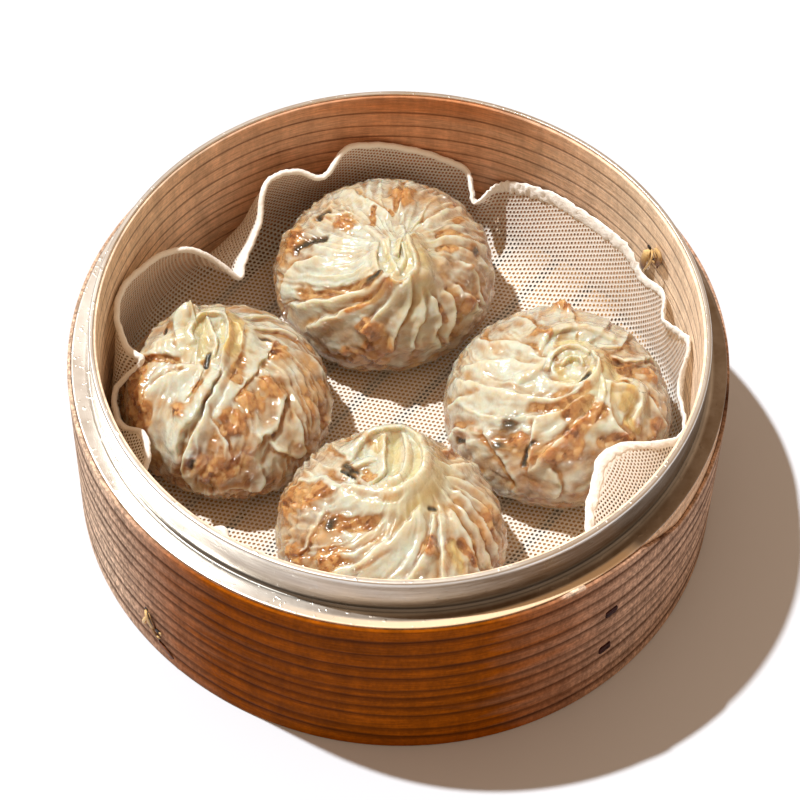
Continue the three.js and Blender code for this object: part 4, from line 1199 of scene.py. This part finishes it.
# Each dumpling, placed where the photograph shows it and made up on its far side. Dome
# and crown are in mm. crests are the crown's folds as (path of x, y and height from the crown's
# middle, width, steep side), and crown_tints (path of x and y, width, tint), where gold and dark
# tints are painted shade in the crown's hollows and deepest creases, the dark ones partly dark
# filling too. folds and slots are (path of azimuth and profile place, width, height or depth,
# steep side or tint), and lumps (azimuth, profile place, size, height, tint). drift says how far
# the pleats wind at an azimuth, and shaded how yellow the crown's outer slope is painted there,
# a painted shade on the side turned from the light. cover is how opaque the wrapper is at the
# foot and under the crown, and between which profile places it changes. layers are soft spots
# (azimuth, profile place, half turn, half rise, amount) where it lies double, or below nought
# where it is drawn thin, and the yellow spots listed after them are where the dough is painted
# yellow: partly its own colour, and partly painted shade on the dumpling's shaded side.
SHUMAI = [
    dict(
        name="shumai_back", at=(-5.1, 45.6), radius=(31.2, 31.6), neck=35, crown=(4.3, -9.0),
        seed=1, way=-1, pleats=40, threads=0.8,
        crests=[
            ([(-6.5, 1.6, 2.0), (-7.2, -3.4, 2.8), (-6.6, -8.2, 3.4), (-3.9, -12.0, 4.0),
              (0.0, -13.6, 4.6), (3.4, -12.6, 5.2), (5.2, -8.9, 5.4), (4.8, -4.5, 5.2),
              (3.4, -1.4, 5.4), (2.5, 2.2, 4.6)], 1.5, 1),
            ([(-9.4, 8.6, 0.2), (-6.4, 4.6, 1.8), (-4.6, 1.2, 2.8), (-3.8, -2.4, 3.0)], 1.4, -1),
            ([(0.4, 9.0, 0.4), (0.8, 5.0, 2.2), (-0.4, 1.4, 3.4), (-0.9, -2.6, 3.8)], 1.2, 1),
            ([(4.8, 6.4, 1.0), (3.2, 3.6, 3.4), (2.2, 0.6, 4.4)], 1.1, -1),
            ([(1.0, 0.6, 3.6), (1.8, -4.6, 4.3), (0.9, -7.8, 4.0), (-1.2, -9.2, 2.8)], 0.9, -1),
            ([(-3.4, 2.4, 2.8), (-3.0, -1.5, 2.6), (-2.4, -5.2, 3.0), (-0.4, -9.6, 3.8)], 1.1, 1),
        ],
        crown_tints=[
            ([(-3.9, 1.6), (-3.7, -4.4)], 1.0, "gold"), ([(-1.2, 1.8), (-0.6, -4.0)], 0.8, "gold"),
            ([(-1.6, -5.6), (-2.6, -8.2)], 0.9, "gold"),
        ],
        shaded=[
            (-100, 0.3), (-70, 1), (-30, 1), (0, 0.5), (30, 0.2), (180, 0), (-140, 0),
        ],
        drift=[
            (-60, -15), (-72, -55), (-85, -62), (-110, -50), (-150, -35), (160, -22), (120, -14),
            (60, -8), (12, -4), (-17, -5), (-37, 8),
        ],
        folds=[
            ([(-78, 0.79), (-110, 0.71), (-130, 0.605), (-142, 0.5), (-150, 0.40)], 3.0, 2.2, -1),
            ([(-72, 0.765), (-95, 0.70), (-115, 0.59), (-127, 0.48), (-132, 0.37)], 2.8, 2.2, -1),
            ([(-68, 0.75), (-85, 0.68), (-97, 0.58), (-102, 0.50)], 2.6, 1.8, -1),
            ([(-68, 0.74), (-77, 0.62), (-84, 0.5), (-86, 0.37)], 2.0, 1.6, 1),
            ([(-62, 0.72), (-66, 0.6), (-72, 0.5), (-75, 0.34)], 1.9, 1.5, 1),
            ([(-57, 0.71), (-57, 0.575), (-60, 0.47), (-57, 0.33)], 1.9, 1.5, 1),
            ([(-46, 0.68), (-45, 0.59), (-50, 0.5), (-54, 0.42), (-50, 0.31)], 2.0, 1.7, 1),
            ([(-36, 0.66), (-35, 0.6), (-31, 0.5), (-27, 0.37)], 1.9, 1.4, 1),
            ([(-15, 0.74), (-20, 0.6), (-24, 0.5), (-22, 0.37)], 1.9, 1.1, 1),
            ([(-5, 0.84), (-2, 0.71), (-7, 0.60)], 1.7, 0.8, 1),
            ([(12, 0.86), (8, 0.7), (5, 0.59), (8, 0.48)], 2.0, 1.0, 1),
            ([(45, 0.87), (40, 0.73), (38, 0.55)], 2.4, 1.0, 1),
            ([(84, 0.87), (80, 0.74), (74, 0.55)], 2.4, 0.9, 1),
            ([(-262, 0.90), (-250, 0.80), (-240, 0.68), (-236, 0.56)], 2.4, 1.2, -1),
            ([(-160, 0.74), (-165, 0.62), (-160, 0.5), (-150, 0.38)], 3.0, 1.6, -1),
            ([(-225, 0.78), (-212, 0.70), (-205, 0.6)], 1.8, 1.0, 1),
        ],
        slots=[
            ([(-110, 0.75), (-122, 0.722), (-134, 0.645), (-148, 0.54)], 1.7, 2.0, "brown"),
            ([(-104, 0.765), (-112, 0.748)], 1.3, 1.6, "dark"),
            ([(-90, 0.715), (-104, 0.655), (-112, 0.60)], 0.9, 1.0, "brown"),
            ([(-226, 0.89), (-236, 0.85), (-246, 0.80)], 0.8, 0.9, "brown"),
            ([(-185, 0.72), (-181, 0.66), (-177, 0.61)], 1.0, 0.5, "dark"),
            ([(-264, 0.86), (-260, 0.83)], 0.9, 0.8, "brown"),
            ([(-215, 0.67), (-205, 0.655)], 0.8, 0.4, "dark"),
            ([(-4, 0.83), (-3, 0.74)], 1.2, 0.8, "brown"),
            ([(19, 0.82), (14, 0.7)], 1.2, 0.8, "brown"),
            ([(27, 0.70), (28, 0.62)], 1.0, 0.8, "brown"),
            ([(-41, 0.60), (-42, 0.46)], 1.3, 0.6, "brown"),
            ([(-54, 0.60), (-55, 0.52)], 0.9, 0.6, "brown"),
        ],
        lumps=[
            (-97, 0.54, 3.2, 2.4, "brown"), (-92, 0.42, 4.2, 1.4, "brown"),
            (-106, 0.37, 3.0, 0.8, "brown"), (-205, 0.77, 2.6, 0.4, "brown"),
            (-185, 0.58, 3.6, 0.8, "brown"), (80, 0.74, 3.2, 1.0, "brown"),
            (-20, 0.63, 2.6, 1.2, "none"), (-2, 0.62, 1.6, 0.8, "dark"),
            (-17, 0.64, 1.2, 0.9, "brown"), (-67, 0.42, 2.6, 1.2, "none"),
            (-24, 0.80, 3.0, 0.8, "none"), (-35, 0.52, 2.6, 0.6, "brown"),
        ],
        cover=(0.30, 0.76, 0.30, 0.88),
        layers=[
            (-165, 0.83, 45, 0.18, 0.26), (-137, 0.54, 20, 0.22, 0.50),
            (-262, 0.56, 30, 0.12, 0.14), (-28, 0.79, 24, 0.09, -0.28), (20, 0.58, 45, 0.13, -0.14),
            (-88, 0.50, 14, 0.10, -0.16), (-182, 0.50, 16, 0.10, -0.20),
            # This spot whitens the low front, where the dumpling lies in shade: a painted light.
            (-85, 0.46, 36, 0.14, 0.20),
        ],
        yellow_and_shade_spots=[
            (-52, 0.89, 40, 0.12, 0.85), (5, 0.93, 45, 0.10, 0.38), (-272, 0.96, 30, 0.09, 0.35),
        ],
    ),
    dict(
        name="shumai_left", at=(-47.4, -1.4), radius=(29, 29.6), neck=32.5, crown=(-7.4, 7.8),
        seed=2, way=1, pleats=34, threads=0.8,
        crests=[
            ([(-3.7, 6.7, 6.6), (-2.6, 5.0, 5.6), (-1.7, 3.0, 4.0)], 1.0, 1),
            ([(-1.7, -2.4, 2.6), (-2.7, 0.4, 3.4), (-1.9, 3.5, 4.0), (0.2, 5.6, 4.2),
              (3.3, 6.2, 4.6), (6.2, 5.6, 4.6), (8.3, 2.7, 4.6), (8.5, -2.1, 4.0), (7.5, -6.9, 3.0),
              (6.7, -11.0, 1.0)], 1.5, -1),
            ([(8.8, 4.3, 2.8), (10.8, 3.1, 2.8), (12.0, -0.8, 2.2), (11.3, -5.6, 1.0)], 1.0, -1),
            ([(1.6, 5.0, 3.0), (2.9, 1.0, 3.2), (4.6, -3.2, 3.0), (4.2, -7.0, 1.6)], 1.1, 1),
            ([(-3.2, -1.0, 1.6), (-6.6, -1.9, 1.2), (-10.3, -2.2, 0.2)], 1.8, -1),
            ([(-1.6, -9.6, 0.2), (-5.0, -9.3, -0.6)], 1.2, -1),
        ],
        crown_tints=[
            ([(-0.1, 4.0), (0.2, 0.2)], 1.3, "gold"), ([(0.8, -2.0), (0.9, -6.3)], 1.0, "gold"),
            ([(10.0, 2.6), (10.6, -2.4)], 0.8, "gold"), ([(2.8, -6.4), (2.4, -10.0)], 0.7, "dark"),
            ([(6.2, 3.4), (6.4, -2.4)], 0.8, "gold"),
        ],
        shaded=[
            (-100, 0.6), (-60, 0.8), (-20, 0.8), (30, 0.6), (90, 0.5), (150, 0.6), (180, 0.5),
            (-140, 0.4),
        ],
        drift=[
            (-100, -6), (-75, -22), (-50, -30), (-20, -34), (10, -40), (40, -46), (80, -40),
            (120, -10), (160, 5), (-150, 4), (-125, 2),
        ],
        folds=[
            ([(-50, 0.93), (-78, 0.87), (-100, 0.76), (-112, 0.66), (-118, 0.56), (-115, 0.46),
              (-108, 0.38)], 3.6, 2.4, 1),
            ([(-40, 0.89), (-65, 0.85), (-85, 0.77), (-98, 0.67), (-107, 0.56), (-110, 0.46),
              (-105, 0.37), (-99, 0.33)], 3.0, 2.0, -1),
            ([(-30, 0.86), (-58, 0.82), (-78, 0.74), (-92, 0.65)], 2.4, 1.5, -1),
            ([(-76, 0.75), (-50, 0.80), (-20, 0.80), (10, 0.78), (22, 0.71)], 2.0, 1.2, -1),
            ([(-88, 0.93), (-101, 0.88), (-112, 0.80), (-122, 0.71)], 2.2, 1.4, 1),
            ([(-100, 0.92), (-125, 0.86), (-144, 0.78), (-150, 0.68), (-145, 0.58)], 2.8, 1.6, -1),
            ([(-148, 0.92), (-170, 0.85), (-182, 0.72), (-188, 0.6)], 2.6, 1.6, 1),
            ([(-150, 0.94), (-200, 0.90), (-220, 0.82), (-226, 0.68)], 3.0, 1.6, 1),
            ([(-240, 0.92), (-250, 0.80), (-252, 0.66)], 2.6, 1.2, 1),
            ([(-70, 0.52), (-64, 0.59), (-50, 0.60), (-34, 0.655), (-20, 0.66)], 2.0, 1.6, -1),
            ([(-58, 0.57), (-50, 0.49), (-41, 0.42), (-37, 0.50), (-28, 0.62)], 1.8, 1.4, -1),
            ([(-110, 0.42), (-104, 0.345), (-94, 0.345), (-86, 0.38), (-78, 0.375), (-70, 0.34),
              (-66, 0.40), (-70, 0.5)], 1.6, 1.5, -1),
            ([(-20, 0.39), (-6, 0.42), (2, 0.50), (14, 0.55), (20, 0.66)], 1.9, 1.4, -1),
            ([(-30, 0.935), (10, 0.94), (45, 0.92), (72, 0.85), (92, 0.72)], 2.6, 1.8, -1),
            ([(-34, 0.90), (0, 0.885), (30, 0.86), (48, 0.825)], 2.0, 1.4, -1),
            ([(34, 0.82), (36, 0.70), (28, 0.58)], 2.2, 1.3, -1),
            ([(56, 0.82), (56, 0.70), (48, 0.58)], 2.2, 1.3, -1),
            ([(-92, 0.70), (-84, 0.62), (-84, 0.52)], 1.6, 1.0, 1),
        ],
        slots=[
            ([(-27, 0.922), (0, 0.912), (30, 0.885), (52, 0.85)], 1.7, 1.0, "gold"),
            ([(-52, 0.825), (-38, 0.86), (-22, 0.866)], 1.3, 1.6, "brown"),
            ([(-180, 0.70), (-170, 0.80), (-150, 0.885)], 1.2, 1.4, "brown"),
            ([(-212, 0.745), (-204, 0.785)], 0.6, 0.5, "dark"),
            ([(-92, 0.925), (-84, 0.94)], 1.0, 1.4, "brown"),
            ([(19, 0.785), (20, 0.76)], 0.6, 0.4, "dark"),
            ([(-103, 0.50), (-104, 0.46)], 0.7, 0.4, "dark"),
            ([(-104, 0.84), (-110, 0.80)], 0.9, 0.8, "brown"),
        ],
        lumps=[
            (-120, 0.69, 2.2, 1.0, "brown"), (-72, 0.675, 3.4, 1.0, "brown"),
            (-55, 0.73, 2.8, 0.9, "brown"), (-93, 0.46, 4.2, 0.8, "brown"),
            (-148, 0.56, 4.6, 0.6, "brown"), (-10, 0.73, 3.4, 0.7, "none"),
            (-100, 0.79, 2.6, 0.8, "none"), (-22, 0.52, 3.6, 1.0, "none"),
            (-168, 0.62, 4.0, 0.4, "brown"), (10, 0.74, 2.6, 0.8, "brown"),
            (-30, 0.72, 2.6, 0.7, "brown"),
        ],
        cover=(0.27, 0.82, 0.52, 0.84),
        layers=[
            (-122, 0.56, 16, 0.20, 0.50), (-165, 0.84, 40, 0.12, 0.12), (-95, 0.76, 28, 0.12, 0.24),
            (-60, 0.50, 14, 0.12, 0.36), (45, 0.58, 24, 0.10, 0.30), (-30, 0.75, 16, 0.08, -0.20),
        ],
        yellow_and_shade_spots=[
            (0, 0.99, 900, 0.08, 0.64), (-268, 0.92, 20, 0.09, 0.22), (0, 0.87, 14, 0.06, 0.25),
        ],
    ),
    dict(
        name="shumai_front", at=(-0.8, -44.8), radius=(31, 30.2), neck=34.5, crown=(1.9, 8.4),
        seed=3, way=-1, pleats=38, threads=0.9,
        crests=[
            ([(-13.3, 2.7, 0.8), (-11.0, 6.8, 2.6), (-7.7, 9.7, 4.3), (-2.9, 10.4, 5.8),
              (1.3, 9.9, 6.4), (4.8, 7.0, 6.6), (7.0, 2.5, 6.6), (7.1, -2.5, 6.4), (5.1, -6.4, 5.8),
              (1.8, -8.8, 4.6), (-3.0, -9.4, 3.0), (-9.1, -7.8, 1.4), (-14.0, -6.3, 0.2)], 2.2, -1),
            ([(-12.8, -0.7, 1.0), (-9.4, 0.8, 1.8), (-6.0, 1.3, 2.0), (-3.9, -0.3, 1.4)], 1.5, -1),
            ([(-5.0, 7.4, 4.2), (-4.6, 2.3, 3.4), (-4.4, -2.8, 2.8), (-7.0, -5.4, 2.2)], 1.5, 1),
            ([(1.6, 7.6, 5.2), (2.4, 1.4, 4.8), (0.9, -4.6, 4.2), (-2.0, -6.4, 3.6)], 1.7, -1),
        ],
        crown_tints=[
            ([(-1.7, 8.0), (-1.5, -2.4)], 1.5, "gold"), ([(-6.1, 7.4), (-5.9, 4.0)], 1.1, "gold"),
            ([(-10.4, 5.2), (-10.6, 3.6)], 0.8, "gold"),
            ([(-15.0, -1.0), (-12.0, -3.2)], 0.6, "dark"),
            ([(-9.3, -3.6), (-7.3, -5.2)], 0.7, "brown"),
        ],
        shaded=[
            (-120, 0.3), (-90, 0.8), (-50, 1), (0, 0.9), (45, 0.7), (80, 0.4), (120, 0.2),
            (-150, 0),
        ],
        drift=[
            (-100, -50), (-80, -55), (-60, -48), (-40, -30), (-20, -14), (10, -4), (45, 2), (90, 0),
            (140, -20), (180, -40), (-140, -48),
        ],
        folds=[
            ([(-45, 0.86), (-72, 0.80), (-92, 0.74), (-108, 0.66), (-122, 0.58), (-128, 0.48)],
             3.2, 2.2, -1),
            ([(-55, 0.90), (-90, 0.86), (-130, 0.85), (-160, 0.79), (-185, 0.74), (-200, 0.66)],
             2.8, 1.6, -1),
            ([(-40, 0.82), (-54, 0.74), (-70, 0.66), (-84, 0.56)], 2.4, 1.8, -1),
            ([(-34, 0.81), (-44, 0.73), (-55, 0.64), (-60, 0.54), (-62, 0.42)], 2.4, 1.9, -1),
            ([(-28, 0.80), (-31, 0.69), (-36, 0.58), (-38, 0.45)], 2.0, 1.6, 1),
            ([(-20, 0.79), (-23, 0.67), (-28, 0.55), (-30, 0.42)], 2.0, 1.6, 1),
            ([(-5, 0.80), (-13, 0.69), (-19, 0.56), (-22, 0.42)], 2.0, 1.5, 1),
            ([(6, 0.84), (9, 0.72), (4, 0.60), (2, 0.48)], 2.0, 1.3, 1),
            ([(20, 0.86), (25, 0.74), (32, 0.6), (36, 0.48)], 2.2, 1.5, 1),
            ([(34, 0.86), (45, 0.74), (50, 0.60)], 2.2, 1.5, 1),
            ([(52, 0.86), (62, 0.74), (66, 0.60)], 2.2, 1.4, 1),
            ([(-95, 0.905), (-130, 0.89), (-170, 0.84), (-212, 0.78)], 2.0, 1.0, -1),
            ([(-245, 0.86), (-238, 0.74), (-242, 0.62)], 2.4, 1.2, 1),
            ([(-212, 0.81), (-222, 0.70), (-230, 0.60)], 2.2, 1.2, 1),
            ([(-100, 0.74), (-118, 0.67), (-130, 0.61), (-142, 0.52)], 1.8, 1.1, -1),
            ([(-86, 0.72), (-100, 0.655), (-112, 0.59)], 1.6, 1.1, -1),
            ([(-162, 0.72), (-152, 0.62), (-147, 0.50)], 1.8, 1.0, 1),
            ([(-190, 0.70), (-196, 0.58), (-192, 0.45)], 2.0, 1.0, 1),
        ],
        slots=[
            ([(-182, 0.915), (-170, 0.93), (-156, 0.945)], 0.9, 0.8, "brown"),
            ([(-202, 0.79), (-194, 0.815), (-186, 0.86)], 0.9, 0.6, "dark"),
            ([(-146, 0.715), (-130, 0.765), (-114, 0.80)], 1.6, 1.2, "brown"),
            ([(41, 0.80), (42, 0.72), (48, 0.60)], 1.3, 1.0, "brown"),
            ([(62, 0.74), (67, 0.64)], 1.2, 0.9, "brown"),
            ([(-44, 0.665), (-46, 0.58)], 1.5, 0.8, "gold"),
            ([(-38, 0.66), (-37, 0.56)], 0.8, 0.8, "brown"),
            ([(-44, 0.835), (-38, 0.815)], 0.6, 0.3, "dark"),
            ([(-12, 0.66), (-14, 0.54)], 1.1, 0.6, "brown"),
        ],
        lumps=[
            (-147, 0.70, 1.7, 0.6, "dark"), (-178, 0.68, 3.4, 0.9, "brown"),
            (-160, 0.79, 2.2, 0.6, "none"), (-130, 0.60, 3.4, 0.8, "brown"),
            (-60, 0.705, 2.0, 0.7, "brown"), (-185, 0.55, 4.0, 0.6, "brown"),
            (20, 0.73, 2.2, 0.7, "none"), (-6, 0.60, 2.6, 0.6, "brown"),
            (-68, 0.66, 2.6, 0.8, "none"), (-150, 0.48, 4.0, 0.6, "brown"),
            (-168, 0.66, 2.4, 0.8, "none"),
        ],
        cover=(0.33, 0.73, 0.30, 0.90),
        layers=[
            (-245, 0.88, 30, 0.10, 0.12), (-150, 0.88, 35, 0.12, 0.12), (-78, 0.64, 28, 0.16, 0.22),
            (-165, 0.55, 32, 0.10, -0.14), (45, 0.85, 22, 0.12, -0.14),
            (-25, 0.56, 24, 0.16, -0.20),
        ],
        yellow_and_shade_spots=[
            (-42, 0.90, 55, 0.11, 0.78), (-276, 0.92, 26, 0.10, 0.50), (32, 0.88, 34, 0.12, 0.42),
            (0, 0.99, 900, 0.06, 0.28),
        ],
    ),
    dict(
        name="shumai_right", at=(44.2, 1.4), radius=(32.4, 31), neck=31, crown=(7.7, -1.8), seed=4,
        way=-1, pleats=34, threads=0.4,
        crests=[
            ([(-10.6, -3.4, 0.8), (-7.6, -5.8, 2.6), (-4.2, -7.2, 3.8), (-0.8, -6.4, 4.6),
              (1.6, -3.2, 5.2), (2.3, 0.8, 5.4), (1.4, 4.4, 4.4)], 1.4, 1),
            ([(-13.6, 6.0, 0.6), (-11.9, 11.2, 1.8), (-8.0, 13.8, 2.6), (-2.8, 15.0, 2.6),
              (2.5, 14.2, 1.6), (6.3, 13.0, 0.2)], 2.0, -1),
            ([(-11.4, 0.6, 1.4), (-10.2, 4.6, 2.4), (-6.8, 7.0, 3.4), (-2.6, 6.8, 4.0),
              (-0.2, 4.6, 4.4)], 1.3, -1),
            ([(-7.4, 1.8, 2.6), (-5.2, 3.8, 3.2), (-2.6, 3.2, 3.7), (-1.6, 0.8, 3.9)], 0.9, -1),
            ([(2.3, 0.2, 4.4), (3.6, -5.4, 3.4), (3.2, -10.4, 1.8), (1.0, -15.0, -0.4)], 1.4, 1),
            ([(4.3, -4.6, 3.0), (7.2, -5.8, 2.8), (11.0, -5.4, 2.0), (14.0, -6.6, 0.4)], 1.4, 1),
            ([(-12.3, 2.6, 1.6), (-15.4, -0.6, 1.0), (-18.5, -2.1, 0.0)], 2.2, 1),
        ],
        crown_tints=[
            ([(-8.4, 0.4), (-6.2, -2.4), (-3.4, -4.0)], 1.3, "gold"),
            ([(-5.4, 4.2), (-3.4, 2.0)], 1.1, "gold"), ([(-7.6, 8.6), (-3.0, 9.4)], 1.2, "gold"),
            ([(-2.5, -4.6), (-0.3, -2.2)], 0.6, "dark"), ([(5.6, 2.0), (7.6, -1.4)], 1.0, "gold"),
        ],
        shaded=[
            (-90, 0.3), (-60, 0.9), (-20, 0.9), (20, 0.6), (60, 0.4), (120, 0.3), (180, 0.1),
            (-130, 0.1),
        ],
        drift=[
            (-90, -55), (-70, -50), (-55, -20), (-35, 2), (-15, 8), (10, 4), (50, -12), (90, -20),
            (130, -26), (180, -40), (-140, -55), (-110, -60),
        ],
        folds=[
            ([(-62, 0.96), (-80, 0.925), (-108, 0.85), (-140, 0.78), (-165, 0.68), (-180, 0.55),
              (-186, 0.40)], 3.8, 2.4, -1),
            ([(-60, 0.93), (-76, 0.87), (-96, 0.81), (-115, 0.75), (-132, 0.70)], 2.4, 2.0, -1),
            ([(-56, 0.91), (-70, 0.82), (-84, 0.75), (-95, 0.66), (-102, 0.56), (-107, 0.47)],
             2.8, 2.6, -1),
            ([(-122, 0.73), (-114, 0.66), (-108, 0.56), (-106, 0.48)], 1.6, 1.2, -1),
            ([(-150, 0.95), (-200, 0.91), (-240, 0.84), (-265, 0.76)], 2.6, 1.3, -1),
            ([(-130, 0.91), (-172, 0.86), (-190, 0.76), (-188, 0.62), (-196, 0.48)], 3.0, 1.8, -1),
            ([(-190, 0.88), (-214, 0.76), (-210, 0.62), (-218, 0.5)], 2.6, 1.4, -1),
            ([(-225, 0.84), (-240, 0.72), (-238, 0.58)], 2.4, 1.3, -1),
            ([(-40, 0.94), (-54, 0.85), (-58, 0.75), (-53, 0.66), (-45, 0.57)], 3.0, 2.6, 1),
            ([(-14, 0.92), (-8, 0.80), (-18, 0.72), (-36, 0.685), (-48, 0.62)], 2.6, 2.8, -1),
            ([(2, 0.84), (-8, 0.72), (-17, 0.66), (-20, 0.52), (-18, 0.40)], 2.0, 1.4, 1),
            ([(36, 0.90), (22, 0.83), (18, 0.75), (22, 0.64), (20, 0.52)], 2.2, 1.6, -1),
            ([(60, 0.91), (46, 0.85), (40, 0.77), (44, 0.66), (42, 0.54)], 2.4, 1.6, -1),
            ([(82, 0.88), (68, 0.81), (62, 0.70), (64, 0.56)], 2.4, 1.4, -1),
            ([(100, 0.86), (90, 0.76), (86, 0.6)], 2.4, 1.2, -1),
            ([(-146, 0.60), (-130, 0.55), (-119, 0.50), (-112, 0.42), (-110, 0.34)], 2.2, 1.3, -1),
            ([(-150, 0.52), (-156, 0.42), (-156, 0.32)], 2.0, 1.0, -1),
            ([(-97, 0.56), (-91, 0.45), (-92, 0.34)], 2.0, 1.0, 1),
            ([(-164, 0.66), (-168, 0.54), (-172, 0.42)], 2.2, 1.0, -1),
        ],
        slots=[
            ([(-132, 0.765), (-108, 0.825), (-90, 0.86), (-76, 0.925)], 1.3, 1.6, "brown"),
            ([(-98, 0.785), (-86, 0.83), (-72, 0.855)], 1.3, 1.5, "brown"),
            ([(-90, 0.705), (-78, 0.755), (-66, 0.80)], 2.4, 1.2, "brown"),
            ([(-66, 0.66), (-56, 0.64), (-48, 0.60)], 1.8, 0.8, "brown"),
            ([(2, 0.79), (12, 0.86), (28, 0.915)], 2.2, 1.0, "brown"),
            ([(-111, 0.64), (-111, 0.53)], 0.8, 0.8, "dark"),
            ([(-14, 0.68), (-13, 0.60)], 1.0, 0.8, "brown"),
            ([(-40, 0.76), (-22, 0.77)], 1.5, 0.6, "gold"),
            ([(-44, 0.70), (-40, 0.62)], 1.2, 0.7, "gold"),
            ([(-150, 0.40), (-145, 0.46)], 0.8, 0.6, "dark"),
        ],
        lumps=[
            (-133, 0.665, 2.2, 0.9, "dark"), (-128, 0.57, 1.4, 0.5, "dark"),
            (-121, 0.625, 2.1, 0.9, "brown"), (-149, 0.70, 3.4, 0.8, "none"),
            (-86, 0.64, 3.4, 0.3, "brown"), (90, 0.62, 2.6, 2.4, "brown"),
            (-115, 0.69, 1.8, 0.9, "none"), (6, 0.66, 2.6, 0.8, "brown"),
            (-144, 0.52, 3.0, 0.8, "none"), (-235, 0.78, 2.4, 0.6, "brown"),
            (-96, 0.60, 2.2, 0.7, "brown"), (-28, 0.55, 3.0, 0.5, "brown"),
        ],
        cover=(0.37, 0.73, 0.30, 0.88),
        layers=[
            (-160, 0.79, 48, 0.17, 0.42), (-190, 0.58, 17, 0.16, 0.34), (-45, 0.85, 30, 0.10, 0.10),
            (15, 0.80, 32, 0.18, -0.30), (-112, 0.62, 20, 0.09, -0.26),
            (-190, 0.42, 14, 0.08, 0.26), (60, 0.70, 18, 0.12, 0.10),
        ],
        yellow_and_shade_spots=[
            (-48, 0.88, 40, 0.13, 0.66), (-262, 0.92, 40, 0.10, 0.62), (10, 0.95, 40, 0.08, 0.40),
            (-28, 0.72, 16, 0.09, 0.45), (0, 0.99, 900, 0.05, 0.22),
        ],
    ),
]
for one in SHUMAI:
    shumai_piece(one)
